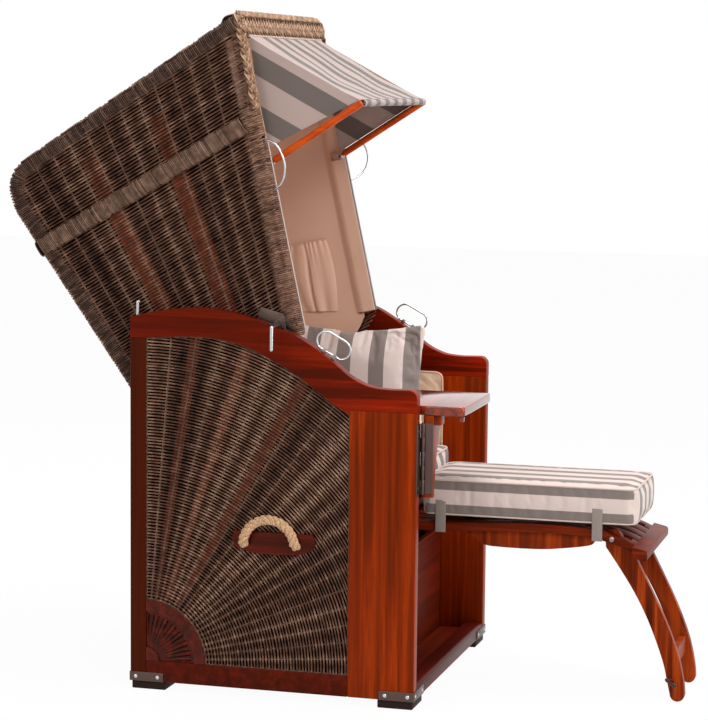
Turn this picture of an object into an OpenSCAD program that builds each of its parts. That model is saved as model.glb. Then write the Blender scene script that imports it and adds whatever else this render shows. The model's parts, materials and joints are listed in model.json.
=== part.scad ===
// Hooded beach chair: wooden base with wicker panels, tilting wicker hood,
// folding awning, swinging side table and a pull-out padded footrest.
// Axes: +Z up, the chair faces -Y, the sitter's right side is -X.
// Sizes are millimetres. Every part is drawn in chair coordinates (x from the
// right outer face, y from the front plane, z from the floor) and moved once.

/* [Base] */
// width over the two side frames
base_w = 758; // [740:1:800]
// depth of the side frames
base_d = 700; // [690:1:720]
// height of the arm at its highest point
arm_h = 921; // [910:1:935]
// thickness of the side frames
panel_t = 30; // [26:1:34]
// width of the front post seen from the side
stile_w = 160; // [150:1:170]
// width of the rear post seen from the side
rear_stile_w = 40; // [34:1:46]
// top of the bottom rail above the floor
bottom_rail_top = 71; // [64:1:80]
// radius of the carved quarter shell in the corner
shell_r = 148; // [130:1:160]
// thickness of the woven side panels with the slats behind them
wicker_t = 14; // [12:1:16]
// how far the woven side panels lie behind the outer face
wicker_in = 6; // [4:1:8]
// height of the four feet
foot_h = 20; // [16:1:24]
// length of a foot along the side
foot_side = 85; // [70:1:100]
// length of a foot along the front
foot_front = 95; // [80:1:110]
// height of the metal corner shoes
shoe_h = 22; // [18:1:26]
// thickness of the metal corner shoes
shoe_t = 1.5; // [1:0.5:2.5]
// height of the front sill
sill_h = 33; // [28:1:38]
// height of the rear wall of the base
rear_wall_top = 560; // [520:1:580]
// thickness of the inner boards
board_t = 16; // [12:1:20]
// top of the upright board behind the footrest
kick_top = 300; // [260:1:330]

/* [Handles] */
// thickness of the rope
rope_d = 22; // [18:1:24]
// radius of the rope loop
rope_loop_r = 63; // [58:1:66]
// thickness of the wooden plate that holds the rope
handle_plate_t = 10; // [8:1:12]

/* [Seat] */
// underside of the seat board
seat_board_z = 415; // [412:1:420]
// height of the seat cushion
seat_cushion_h = 96; // [86:1:104]
// front of the seat cushion behind the front plane
seat_front = 82; // [80:1:100]
// depth of the seat cushion
seat_depth = 530; // [500:1:540]
// thickness of the side pads
side_pad_t = 14; // [10:1:16]
// length of the side pads
side_pad_len = 305; // [260:1:310]
// top of the side pads
side_pad_top = 710; // [690:1:715]
// width of the throw pillow
pillow_w = 400; // [360:1:410]
// height of the throw pillow
pillow_h = 314; // [290:1:320]
// thickness of the throw pillow
pillow_t = 84; // [70:1:90]

/* [Hood] */
// backward lean of the hood from upright, degrees
recline = 33.2; // [30:0.1:34]
// gap between a side frame and the hood
hood_gap = 10; // [9:0.5:13]
// thickness of the woven skin
skin_t = 6; // [5:0.5:8]
// thickness of the wooden slats in the hood
hood_slat_t = 12; // [10:1:14]
// width of the wooden slats in the hood
hood_slat_w = 42; // [36:1:50]
// thickness of the lining
lining_t = 4; // [3:0.5:6]
// thickness of the wrapped front edge
roll_d = 34; // [30:1:36]
// width of the wrapped front edge, from front to back
roll_w = 50; // [44:1:54]
// width of the wrapped rim along the roof edges and down the back
rim_w = 42; // [36:1:46]
// how far the rim stands out
rim_t = 3; // [2:0.5:4]
// height of the braided bar over the opening
front_bar_h = 54; // [48:1:60]
// height of the raised band around the hood
band_h = 33; // [28:1:38]
// how far the band stands out
band_t = 5; // [4:0.5:6]
// thickness of the back pad
back_pad_t = 52; // [40:1:56]
// wire thickness of the grab bows
bow_wire = 5; // [4:0.5:6]

/* [Awning] */
// thickness of the awning arms
arm_d = 17; // [15:1:18]
// length of the awning arms
arm_len = 262; // [250:1:275]
// distance of the arm pivots behind the front edge of the hood
arm_in = 10; // [8:1:12]
// thickness of the fabric
cloth_t = 1.5; // [1:0.5:2]
// thickness of the rolled hem
hem_d = 14; // [12:1:16]

/* [Table] */
// length of the table board
table_len = 280; // [250:1:300]
// width of the table board
table_wid = 205; // [190:1:207]
// thickness of the table board
table_t = 22; // [18:1:26]
// height of the table above the floor
table_top_z = 710; // [706:1:716]
// thickness of the board under the table
gusset_t = 24; // [20:1:26]
// height of the table hinge
hinge_h = 165; // [150:1:170]
// thickness of the hinge pin
hinge_pin_d = 5; // [4:0.5:6]

/* [Footrest] */
// width of the footrest
rest_w = 268; // [250:1:280]
// how far the footrest stands in front of the chair
rest_out = 505; // [490:1:520]
// thickness of the footrest slats
rest_slat_t = 20; // [18:1:22]
// gap between footrest slats
rest_slot = 9; // [7:0.5:11]
// thickness of the footrest legs
rest_leg_t = 20; // [16:1:22]
// thickness of the footrest bolts
rest_bolt_d = 8; // [7:0.5:9]
// height of the footrest cushion
rest_cushion_h = 97; // [85:1:100]
// width of the footrest cushion
rest_cushion_w = 286; // [270:1:290]

/* [Pins and rings] */
// thickness of the locking pins
pin_d = 8; // [7:0.5:9]
// wire thickness of the drink rings
ring_wire = 5; // [4:0.5:5.5]

/* [Hidden] */
$fn = 48;

// running clearance between a pin and its bore, on the radius
fit = 0.05;
// clearance between pieces that move past each other
free_gap = 0.3;
// the middle of the whole chair along its depth, from the front plane
mid_y = 217;
wood = [0.74, 0.52, 0.30];
weave = [0.62, 0.48, 0.33];
steel = [0.80, 0.80, 0.82];
dark_metal = [0.25, 0.25, 0.26];
cloth_a = [0.80, 0.76, 0.74];
cloth_b = [0.70, 0.55, 0.45];

mid_x = base_w / 2;
rear_y = base_d - rear_stile_w;
kz = (arm_h - foot_h) / 901;
ky = base_d / 700;
pivot_y = 335 * ky;
pivot_z = foot_h + 867 * kz;
seat_top = seat_board_z + board_t;
rear_wall_front = base_d - board_t;
hood_x = panel_t + hood_gap;
hood_w = base_w - 2 * hood_x;
hood_wall = skin_t + hood_slat_t + lining_t;
pillow_x = base_w - hood_x - hood_wall - free_gap;

// helpers

// cubic curve through the listed points
function cr(a, b, c, d, t) = 0.5 * (2 * b + (c - a) * t
    + (2 * a - 5 * b + 4 * c - d) * t * t + (3 * b - a - 3 * c + d) * t * t * t);
function spline(p, n = 5) = concat([for (i = [0 : len(p) - 2], k = [0 : n - 1])
    cr(p[max(i - 1, 0)], p[i], p[i + 1], p[min(i + 2, len(p) - 1)], k / n)],
    [p[len(p) - 1]]);
function arc(cy, cz, r, a0, a1, n = 8) = [for (i = [0 : n])
    [cy + r * cos(a0 + (a1 - a0) * i / n), cz + r * sin(a0 + (a1 - a0) * i / n)]];

module in_frame() { translate([-mid_x, -mid_y, 0]) children(); }

// a flat shape in the depth and height plane, thickened along x from x0
module slab(x0, t) {
    translate([x0, 0, 0]) rotate([90, 0, 90]) linear_extrude(height = t) children();
}

// the same piece on the other side of the chair
module other_side() {
    translate([base_w, 0, 0]) mirror([1, 0, 0]) children();
}

module both_sides() {
    children();
    other_side() children();
}

// a round bar between two points
module bar(a, b, d) {
    v = b - a;
    l = norm(v);
    translate(a) rotate([0, acos(v[2] / l), atan2(v[1], v[0])]) cylinder(d = d, h = l);
}

// a box cushion on z = 0, its middle at the origin, with a crown and full edges
module cushion_form(w, d, h, crown = 0.12, tuck = 0.02, nx = 18, ny = 18) {
    function su(t) = sin(90 * t);
    function edge(t) = pow(max(0, 1 - pow(abs(t), 9)), 0.28);
    function px(u, v) = w / 2 * su(u) * (1 - tuck * (1 - abs(su(v)) ^ 6));
    function py(u, v) = d / 2 * su(v) * (1 - tuck * (1 - abs(su(u)) ^ 6));
    function pz(u, v) = h / 2 * edge(su(u)) * edge(su(v))
        * (1 - crown + crown * cos(85 * su(u)) * cos(85 * su(v)));
    function idx(i, j) = i * (ny + 1) + j;
    n = (nx + 1) * (ny + 1);
    top = [for (i = [0 : nx], j = [0 : ny])
        let (u = 2 * i / nx - 1, v = 2 * j / ny - 1)
        [px(u, v), py(u, v), h / 2 + max(0.4, pz(u, v))]];
    low = [for (i = [0 : nx], j = [0 : ny])
        let (u = 2 * i / nx - 1, v = 2 * j / ny - 1)
        [px(u, v), py(u, v), h / 2 - max(0.4, pz(u, v))]];
    polyhedron(points = concat(top, low), faces = sheet_faces(nx, ny, n), convexity = 4);
}

// the faces of a closed sheet: a grid of top points followed by the low points
function sheet_faces(nx, ny, n) = concat(
    [for (i = [0 : nx - 1], j = [0 : ny - 1]) let (a = i * (ny + 1) + j)
        each [[a, a + 1, a + ny + 2], [a, a + ny + 2, a + ny + 1]]],
    [for (i = [0 : nx - 1], j = [0 : ny - 1]) let (a = n + i * (ny + 1) + j)
        each [[a, a + ny + 2, a + 1], [a, a + ny + 1, a + ny + 2]]],
    [for (i = [0 : nx - 1]) let (a = i * (ny + 1), b = a + ny + 1)
        each [[a, b, n + b], [a, n + b, n + a]]],
    [for (i = [0 : nx - 1]) let (a = i * (ny + 1) + ny, b = a + ny + 1)
        each [[a, n + b, b], [a, n + a, n + b]]],
    [for (j = [0 : ny - 1]) let (a = j, b = j + 1)
        each [[a, n + b, b], [a, n + a, n + b]]],
    [for (j = [0 : ny - 1]) let (a = nx * (ny + 1) + j, b = a + 1)
        each [[a, b, n + b], [a, n + b, n + a]]]);

// a throw pillow standing in the depth and height plane, corners drawn out
module pillow_form(w, h, t, nx = 20, ny = 16) {
    function bulge(u, v) = pow((1 - u * u) * (1 - v * v), 0.55);
    function px(u, v) = w / 2 * u * (1 - 0.045 * (1 - v * v));
    function py(u, v) = h / 2 * v * (1 - 0.075 * (1 - u * u));
    n = (nx + 1) * (ny + 1);
    top = [for (i = [0 : nx], j = [0 : ny])
        let (u = sin(90 * (2 * i / nx - 1)), v = sin(90 * (2 * j / ny - 1)))
        [px(u, v), py(u, v), max(0.8, t / 2 * bulge(u, v))]];
    low = [for (i = [0 : nx], j = [0 : ny])
        let (u = sin(90 * (2 * i / nx - 1)), v = sin(90 * (2 * j / ny - 1)))
        [px(u, v), py(u, v), -max(0.8, t / 2 * bulge(u, v))]];
    polyhedron(points = concat(top, low), faces = sheet_faces(nx, ny, n), convexity = 4);
}

// side frames

function sp(y, z) = [y * ky, foot_h + (z - 20) * kz];
joint_z = sp(0, 697)[1];
rear_joint_z = sp(0, 846)[1];

arm_line = spline([sp(64, 748), sp(112, 753), sp(160, 774), sp(208, 812), sp(281, 859),
    sp(340, 882), sp(403, 902), sp(465, 915), sp(526, 921), sp(610, 914), sp(700, 896)]);
under_line = spline([[stile_w, sp(0, 686)[1]], sp(207, 714), sp(280, 767), sp(340, 801),
    sp(402, 830), sp(465, 847), sp(525, 853), sp(600, 851), [rear_y, rear_joint_z]]);

// height of the arm's top at a given depth
function arm_z(y) = lookup(y, [for (q = arm_line) [q[0], q[1]]]);

module side_2d() {
    polygon(concat([[0, foot_h]], arc(20 * kz, sp(0, 729)[1], 20 * kz, 180, 90, 6), arm_line,
        [[base_d, foot_h]]));
}

module opening_2d() {
    polygon(concat([[stile_w, bottom_rail_top]], under_line,
        arc(rear_y, bottom_rail_top, shell_r + free_gap, 90, 180, 16)));
}

module top_rail_2d() {
    difference() {
        side_2d();
        square([stile_w, joint_z]);
        translate([rear_y, 0]) square([base_d, rear_joint_z]);
        polygon(concat([[stile_w, 0]], under_line, [[rear_y, 0]]));
    }
}

module top_rail() {
    color(wood) difference() {
        slab(0, panel_t) top_rail_2d();
        translate([panel_t / 2, rear_pin_y, rear_pin_low - 1])
            cylinder(r = pin_d / 2 + fit, h = 200);
    }
}

module posts() {
    color(wood) {
        slab(0, panel_t) translate([0, foot_h]) square([stile_w, joint_z - foot_h]);
        slab(0, panel_t) translate([rear_y, foot_h])
            square([rear_stile_w, rear_joint_z - foot_h]);
    }
}

module bottom_rails() {
    color(wood) both_sides() slab(0, panel_t)
        translate([stile_w, foot_h]) square([rear_y - stile_w, bottom_rail_top - foot_h]);
}

// carved quarter shell: rim, flutes that widen outward, beads and a small hub
flutes = 7;
shell_rim = shell_r * 0.19;
shell_field = 5;
module shell_2d(r) {
    intersection() {
        circle(r = r, $fn = 96);
        translate([-r, 0]) square([r, r]);
    }
}
module shell_one() {
    difference() {
        slab(0, panel_t) translate([rear_y, bottom_rail_top]) shell_2d(shell_r);
        slab(-1, shell_field + 1) translate([rear_y, bottom_rail_top]) difference() {
            circle(r = shell_r - shell_rim, $fn = 96);
            circle(r = shell_r * 0.22, $fn = 48);
        }
        for (i = [0 : flutes - 1])
            translate([shell_field - 1, rear_y, bottom_rail_top])
                rotate([-(i + 0.5) * 90 / flutes, 0, 0]) rotate([90, 0, 0])
                    translate([0, 0, shell_r * 0.31])
                        cylinder(r1 = 2.2, r2 = 9, h = shell_r * 0.45, $fn = 24);
    }
    for (i = [1 : flutes - 1])
        translate([shell_field, rear_y, bottom_rail_top]) rotate([-i * 90 / flutes, 0, 0])
            translate([-1.2, -shell_r * 0.775, 0]) rotate([0, 90, 0])
                cylinder(r1 = 3, r2 = 4.4, h = 4, $fn = 24);
}
module shell_corners() { color(wood) both_sides() shell_one(); }

module wicker_panels() {
    color(weave) both_sides() slab(wicker_in, wicker_t) opening_2d();
}

// rope handle: a wooden plate on the woven panel and a rope loop in front of it
handle_y = 342;
handle_z = 353;
plate_x = wicker_in - handle_plate_t;
module plate_2d() {
    polygon(concat([[handle_y - 103, handle_z + 24], [handle_y - 97, handle_z + 47]],
        [[handle_y + 97, handle_z + 47], [handle_y + 103, handle_z + 24]],
        spline([[handle_y + 96, handle_z + 10], [handle_y + 60, handle_z - 2],
            [handle_y, handle_z - 6], [handle_y - 60, handle_z - 2],
            [handle_y - 96, handle_z + 10]])));
}
module handle_plates() { color(wood) both_sides() slab(plate_x, handle_plate_t) plate_2d(); }

rope_y = handle_y + 8;
rope_z = handle_z + 16;
rope_turn = 4;
module rope_one() {
    x = plate_x - rope_d / 2 - free_gap;
    translate([x, rope_y, rope_z]) rotate([90, 0, 90]) rotate([0, 0, rope_turn])
        rotate_extrude(angle = 180 - 2 * rope_turn, $fn = 72) translate([rope_loop_r, 0])
            circle(d = rope_d, $fn = 20);
    for (s = [-1, 1])
        translate([x, rope_y + s * rope_loop_r * cos(rope_turn),
            rope_z + rope_loop_r * sin(rope_turn)]) {
            sphere(d = rope_d + 0.4, $fn = 20);
            rotate([0, 90, 0]) cylinder(d = rope_d, h = plate_x - x, $fn = 20);
        }
}
module rope_handles() {
    color([0.62, 0.58, 0.50]) both_sides() difference() {
        rope_one();
        translate([plate_x, handle_y - 150, handle_z - 60]) cube([60, 300, 200]);
    }
}

// base

module feet() {
    color([0.18, 0.16, 0.15]) both_sides() for (y = [3, base_d - foot_side - 3])
        translate([3, y, 0]) cube([foot_front - 3, foot_side, foot_h]);
}

module corner_shoes() {
    color(steel) both_sides() {
        difference() {
            translate([-shoe_t, -shoe_t, foot_h]) cube([foot_front, foot_side, shoe_h]);
            translate([0, 0, foot_h - 1]) cube([foot_front, foot_side, shoe_h + 2]);
        }
        difference() {
            translate([-shoe_t, base_d + shoe_t - foot_side, foot_h])
                cube([foot_front, foot_side, shoe_h]);
            translate([0, base_d - foot_side - 1, foot_h - 1])
                cube([foot_front, foot_side + 1, shoe_h + 2]);
        }
    }
}

module dome_screw(r) {
    intersection() {
        translate([0, 0, -r]) sphere(r = r * 1.414, $fn = 24);
        cylinder(r = r, h = r, $fn = 24);
    }
}
module shoe_screws() {
    z = foot_h + shoe_h / 2;
    color(steel) both_sides() {
        for (y = [14, foot_side - 16, base_d - 14, base_d - foot_side + 16])
            translate([-shoe_t, y, z]) rotate([0, -90, 0]) dome_screw(4.5);
        for (x = [14, foot_front - 16]) {
            translate([x, -shoe_t, z]) rotate([90, 0, 0]) dome_screw(4.5);
            translate([x, base_d + shoe_t, z]) rotate([-90, 0, 0]) dome_screw(4.5);
        }
    }
}

sill_d = 45;
module front_sill() {
    color(wood) translate([panel_t, 0, foot_h]) rotate([90, 0, 90])
        linear_extrude(height = base_w - 2 * panel_t)
            polygon(concat([[sill_d, 0], [0, 0]],
                arc(10, sill_h - 10, 10, 180, 90, 6), [[sill_d, sill_h]]));
}

module rear_wall() {
    color(wood) translate([panel_t, base_d - board_t, foot_h])
        cube([base_w - 2 * panel_t, board_t, rear_wall_top - foot_h]);
}

module floor_board() {
    color(wood) translate([panel_t, sill_d + 5, foot_h])
        cube([base_w - 2 * panel_t, base_d - board_t - sill_d - 5, board_t]);
}

kick_y = 115;
module kick_board() {
    color(wood) translate([panel_t, kick_y, foot_h + board_t])
        cube([base_w - 2 * panel_t, board_t, kick_top - foot_h - board_t]);
}

module seat_board() {
    color(wood) translate([panel_t, seat_front + 4, seat_board_z])
        cube([base_w - 2 * panel_t, rear_wall_front - seat_front - 4, board_t]);
}

// seat

module side_pad() {
    len = side_pad_len;
    hh = side_pad_top - seat_top;
    color(cloth_b) translate([panel_t, 108 + len / 2, seat_top + hh / 2])
        rotate([0, 90, 0]) cushion_form(hh, len, side_pad_t, 0.25, 0.012, 10, 12);
}

module seat_cushion() {
    w = base_w - 2 * panel_t - 2 * side_pad_t - 2 * free_gap;
    color(cloth_a) translate([mid_x, seat_front + seat_depth / 2, seat_top])
        cushion_form(w, seat_depth, seat_cushion_h, 0.10, 0.012, 20, 18);
}

// the pillow's lower edge reaches down to the crowned cushion
pillow_sink = 6.9;
module throw_pillow() {
    color(cloth_a) translate([pillow_x - pillow_t / 2 - 2, 153 + pillow_w / 2,
        seat_top + seat_cushion_h - pillow_sink + pillow_h / 2])
        rotate([90, 0, 90]) pillow_form(pillow_w, pillow_h, pillow_t);
}

// hood, drawn upright about its pivot

module reclined() {
    translate([0, pivot_y, pivot_z]) rotate([-recline, 0, 0])
        translate([0, -pivot_y, -pivot_z]) children();
}

// height of hood points follows the pivot
function hp(y, z) = [y, z - 887 + pivot_z];
edge_low = hp(307, 840);
edge_top = hp(35, 1551);
edge_dir = (edge_top - edge_low) / norm(edge_top - edge_low);
edge_out = [-edge_dir[1], edge_dir[0]];
roof_z = hp(0, 1553)[1];
back_y = 745;
hood_low = hp(0, 790)[1];
band_z = hp(0, 1338)[1];

rear_corner = spline([hp(640, 1553), hp(693, 1551), hp(725, 1538), hp(748, 1512),
    hp(761, 1470), hp(762, 1430)]);
hood_back = [hp(757, 1300), hp(750, 1100), hp(back_y, 961), [back_y, hood_low]];
function edge_at(t) = edge_low + (edge_top - edge_low) * t;

module hood_2d() {
    polygon(concat([[400, hood_low], edge_low, hp(33, 1553)], rear_corner, hood_back));
}

// outline moved inward by a thickness at the roof and back only
module hood_inner_2d(t) {
    intersection() {
        offset(delta = -t) hood_2d();
        hood_2d();
    }
}

roll_off = roll_d / 2;
edge_len = norm(edge_top - edge_low);
edge_tilt = atan2(edge_dir[1], edge_dir[0]) - 90;
// local z runs up the front edge and local y points behind it
module on_edge(t, x) {
    p = edge_at(t);
    translate([x, p[0], p[1]]) rotate([edge_tilt, 0, 0]) children();
}
module edge_roll_one() {
    on_edge(0, hood_x + roll_off) translate([0, 0, 6])
        linear_extrude(height = edge_len - 6 - (front_bar_h - 2)) {
            translate([0, roll_off]) circle(d = roll_d);
            translate([0, roll_w - roll_off]) circle(d = roll_d);
            translate([-roll_off, roll_off]) square([roll_d, roll_w - roll_d]);
        }
}
module edge_rolls() { color(weave) reclined() both_sides() edge_roll_one(); }

// the space kept free for the roll and the front bar
module edge_space_2d() {
    polygon([edge_at(-0.2) + edge_out * 60, edge_at(1.2) + edge_out * 60,
        edge_at(1.2) - edge_out * (roll_w + free_gap),
        edge_at(-0.2) - edge_out * (roll_w + free_gap)]);
}

module shell_band_2d() {
    difference() {
        hood_2d();
        offset(delta = -skin_t) hood_2d();
        polygon([[back_y - skin_t, hood_low - 40], [-100, hood_low - 40],
            hp(-100, 1553) - [0, skin_t], [500, roof_z - skin_t], [500, 1000],
            [back_y - skin_t - 1, 1000], [back_y - skin_t, hood_low]]);
        edge_space_2d();
    }
}

module hood_shell() {
    color(weave) reclined() slab(hood_x, hood_w) shell_band_2d();
}

module hood_side() {
    color(weave) reclined() slab(hood_x, skin_t) difference() {
        hood_2d();
        shell_band_2d();
        edge_space_2d();
    }
}

// wooden slats inside each side wall, and three across the back
module slat_between(a, b, w) {
    v = (b - a) / norm(b - a);
    s = [-v[1], v[0]] * w / 2;
    polygon([a - s, a + s, b + s, b - s]);
}
module hood_slats() {
    color(wood) reclined() {
        both_sides() slab(hood_x + skin_t, hood_slat_t) {
            slat_between(hp(590, 820), hp(537, 1319) + [0, 150], hood_slat_w);
            slat_between(hp(470, 820), hp(357, 1310) + [-20, 150], hood_slat_w);
        }
        for (s = [0.2, 0.5, 0.8])
            translate([hood_x + hood_w * s - hood_slat_w / 2,
                back_y - skin_t - hood_slat_t - free_gap, hood_low + 10])
                cube([hood_slat_w, hood_slat_t, 430]);
    }
}

module front_bar() {
    color(weave) reclined() on_edge(1, hood_x)
        translate([0, 0, -front_bar_h + 2]) cube([hood_w, roll_w, front_bar_h]);
}

// wrapped rim over both side edges of the roof and down the back
module rim_zone_2d() {
    difference() {
        polygon([hp(0, 1600), hp(900, 1600), hp(900, 800), hp(600, 800), hp(600, 1440),
            hp(0, 1440)]);
        edge_space_2d();
        offset(delta = free_gap) band_2d(0);
    }
}
module hood_rims() {
    color(weave) reclined() both_sides() {
        slab(hood_x - rim_t, rim_t) intersection() {
            difference() {
                offset(delta = rim_t) hood_2d();
                offset(delta = rim_t - rim_w) hood_2d();
            }
            rim_zone_2d();
        }
        slab(hood_x, roll_d) intersection() {
            difference() {
                offset(delta = rim_t) hood_2d();
                hood_2d();
            }
            rim_zone_2d();
        }
    }
}

// raised band around the sides and the back
module band_2d(t) {
    polygon([[160, band_z - band_h / 2 - 12], [back_y + 14, band_z - band_h / 2 + 16],
        [back_y + 14, band_z + band_h / 2 + 16], [160, band_z + band_h / 2 - 12]]);
}
module hood_band() {
    color(weave) reclined() difference() {
        slab(hood_x - band_t, hood_w + 2 * band_t) intersection() {
            band_2d();
            union() {
                hood_2d();
                translate([band_t, 0]) hood_2d();
            }
        }
        slab(hood_x, hood_w) hood_2d();
        slab(hood_x - band_t - 1, hood_w + 2 * band_t + 2) edge_space_2d();
    }
}

module lining_2d() {
    difference() {
        hood_2d();
        shell_band_2d();
        edge_space_2d();
        translate([-200, 0]) square([1200, hood_low + 20]);
    }
}
module hood_lining() {
    color(cloth_b) reclined() {
        both_sides() slab(hood_x + skin_t + hood_slat_t, lining_t) lining_2d();
        translate([hood_x + hood_wall, back_y - skin_t - hood_slat_t - lining_t - 2 * free_gap,
            hood_low + 6]) cube([hood_w - 2 * hood_wall, lining_t, 560]);
    }
}

module back_pad() {
    w = hood_w - 2 * hood_wall - 8;
    y = back_y - skin_t - hood_slat_t - lining_t - 3 * free_gap;
    color(cloth_a) reclined() translate([mid_x, y, hood_low + 270])
        rotate([90, 0, 0]) cushion_form(w, 520, back_pad_t, 0.14, 0.02, 18, 18);
}

// gathered pockets on the inner side walls, open at the top
pocket_t = 9;
pocket_wall = 1.5;
module hood_pockets() {
    a = hood_x + hood_wall;
    color(cloth_b) reclined() both_sides() difference() {
        slab(a, pocket_t) polygon([hp(395, 888), hp(430, 893), hp(470, 920), hp(485, 948),
            hp(470, 1030), hp(433, 1110), hp(375, 1094), hp(318, 1065), hp(345, 990),
            hp(375, 920)]);
        slab(a + pocket_wall, pocket_t - 2 * pocket_wall)
            polygon([hp(396, 903), hp(470, 953), hp(418, 1118), hp(330, 1083)]);
    }
}

// wire bows on the outer front corners, half round on two short straights
bow_r = 58;
bow_stub = 16;
bow_turn = 33;
module grab_bows() {
    color(steel) reclined() both_sides() difference() {
        on_edge(0.529, hood_x + roll_off) translate([0, roll_off, 0])
            rotate([0, 0, -bow_turn]) {
                translate([0, -bow_stub, 0]) rotate([90, 0, -90]) rotate([0, 0, -90])
                    rotate_extrude(angle = 180) translate([bow_r, 0])
                        circle(d = bow_wire);
                for (s = [-1, 1]) translate([0, 0, s * bow_r]) rotate([90, 0, 0])
                    cylinder(d = bow_wire, h = bow_stub);
            }
        edge_roll_one();
    }
}

// hood pivot

plate_t = 3;
module hood_plates() {
    color(dark_metal) both_sides() difference() {
        union() {
            reclined() slab(hood_x - plate_t, plate_t) polygon([
                [pivot_y - 20, pivot_z - 30], [pivot_y + 34, pivot_z - 44],
                [pivot_y + 62, pivot_z + 30], [pivot_y + 24, pivot_z + 62],
                [pivot_y - 14, pivot_z + 20]]);
            translate([hood_x - plate_t - 3, pivot_y, pivot_z]) rotate([0, 90, 0])
                cylinder(d = 22, h = 3);
        }
        translate([0, pivot_y, pivot_z]) rotate([0, 90, 0])
            cylinder(d = pin_d + 2 * fit, h = hood_x + 1);
    }
}

bracket_x = 12;
bracket_t = 4;
module arm_brackets() {
    a = 20.5;
    foot = [pivot_y, arm_z(pivot_y)];
    color(dark_metal) both_sides() difference() {
        union() {
            slab(bracket_x, bracket_t) difference() {
                union() {
                    translate([pivot_y, pivot_z]) circle(d = 30);
                    translate([pivot_y - 15, pivot_z - 60]) square([30, 60]);
                }
                side_2d();
            }
            for (s = [-1, 1]) slab(bracket_x - 8, 20) difference() {
                translate(foot) rotate(a) translate([s * 19 - 7, -8]) square([14, 11]);
                side_2d();
            }
        }
        translate([-10, pivot_y, pivot_z]) rotate([0, 90, 0])
            cylinder(d = pin_d + 2 * fit, h = 80);
    }
}

// locking pin with a hanging grip: slides outward along x
module hood_pin() {
    color(steel) {
        translate([-48, pivot_y, pivot_z]) rotate([0, 90, 0]) cylinder(d = pin_d, h = 48 + hood_x);
        translate([-48, pivot_y, pivot_z]) sphere(d = pin_d, $fn = 24);
        translate([-48, pivot_y, pivot_z - 52]) cylinder(d = pin_d, h = 52);
        translate([-48, pivot_y, pivot_z - 52]) sphere(d = pin_d, $fn = 24);
    }
}

rear_pin_y = base_d - 14;
rear_pin_low = rear_joint_z;
module rear_pin() {
    z = arm_h + 8;
    color(steel) {
        translate([panel_t / 2, rear_pin_y, rear_pin_low + 4])
            cylinder(d = pin_d, h = z - rear_pin_low - 4);
        translate([panel_t / 2, rear_pin_y, z]) sphere(d = pin_d + 0.4);
        bar([panel_t / 2, rear_pin_y, z], [panel_t / 2, rear_pin_y - 6, z + 3], pin_d);
    }
}

// drink rings

ring_x = 14;
ring_a = 28.5;
ring_y = 214;
ring_lift = 9;
ring_pivot = [ring_y, arm_z(ring_y) + ring_lift];
ring_straight = 42;
module ring_place() {
    translate([ring_x, ring_pivot[0], ring_pivot[1]]) rotate([ring_a, 0, 0]) children();
}
// the wire is a flat loop: two straight sides and two round ends
ring_r = 22;
module drink_ring() {
    color(steel) ring_place() {
        for (z = [0, 2 * ring_r]) translate([0, -ring_straight / 2, z]) rotate([-90, 0, 0])
            cylinder(d = ring_wire, h = ring_straight);
        for (s = [-1, 1]) translate([0, s * ring_straight / 2, ring_r])
            rotate([90, 0, 90]) rotate([0, 0, -s * 90]) rotate_extrude(angle = 180)
                translate([ring_r, 0]) circle(d = ring_wire);
    }
}
module ring_clips() {
    color(steel) both_sides() for (s = [-1, 1]) difference() {
        ring_place() translate([-5, s * 14 - 4, -ring_lift - 12])
            cube([10, 8, ring_lift + 12 + ring_wire / 2 + 2]);
        slab(0, panel_t) side_2d();
        ring_place() translate([0, -40, 0]) rotate([-90, 0, 0])
            cylinder(d = ring_wire + 2 * fit, h = 80);
    }
}

// awning, drawn in the upright hood frame

arm_root = edge_at(0.536) - edge_out * arm_in;
arm_angle = 180.4;
arm_dir = [cos(arm_angle), sin(arm_angle)];
arm_tip = arm_root + arm_dir * arm_len;
arm_x = hood_x + roll_d + 1 + arm_d / 2;
cheek_t = 4;
knuckle_w = 10;
cheek_in = knuckle_w / 2 + free_gap;
lug_d = 18;
lug_len = 22;

// two cheeks beside each arm's end, on a block against the wrapped edge
module arm_sockets() {
    a = atan2(edge_out[1], edge_out[0]);
    color(steel) reclined() both_sides() difference() {
        union() {
            for (s = [-1, 1])
                slab(arm_x + s * (cheek_in + cheek_t / 2) - cheek_t / 2, cheek_t)
                    translate(arm_root) union() {
                        circle(d = lug_d);
                        rotate(a) translate([-lug_len, -lug_d / 2]) square([lug_len, lug_d]);
                    }
            slab(hood_x + roll_d, arm_x + cheek_in + cheek_t - hood_x - roll_d)
                translate(arm_root) rotate(a) translate([-lug_len, -lug_d / 2])
                    square([10, lug_d]);
        }
        translate([arm_x - 40, arm_root[0], arm_root[1]]) rotate([0, 90, 0])
            cylinder(d = 6 + 2 * fit, h = 80);
    }
}

module awning_arms() {
    a = arm_root + arm_dir * 4;
    b = arm_root + arm_dir * 13;
    w = cheek_in + cheek_t;
    color(wood) reclined() both_sides() union() {
        slab(arm_x - knuckle_w / 2, knuckle_w) translate(arm_root) circle(d = 16);
        translate([arm_x - w, arm_root[0], arm_root[1]]) rotate([0, 90, 0])
            cylinder(d = 6, h = 2 * w);
        bar([arm_x, a[0], a[1]], [arm_x, b[0], b[1]], knuckle_w - 1);
        bar([arm_x, b[0], b[1]], [arm_x, arm_tip[0], arm_tip[1]], arm_d);
    }
}

hem_gap = arm_d / 2 + free_gap;
module awning_hem() {
    color(cloth_a) reclined() bar([arm_x + hem_gap, arm_tip[0], arm_tip[1]],
        [base_w - arm_x - hem_gap, arm_tip[0], arm_tip[1]], hem_d);
}

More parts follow.
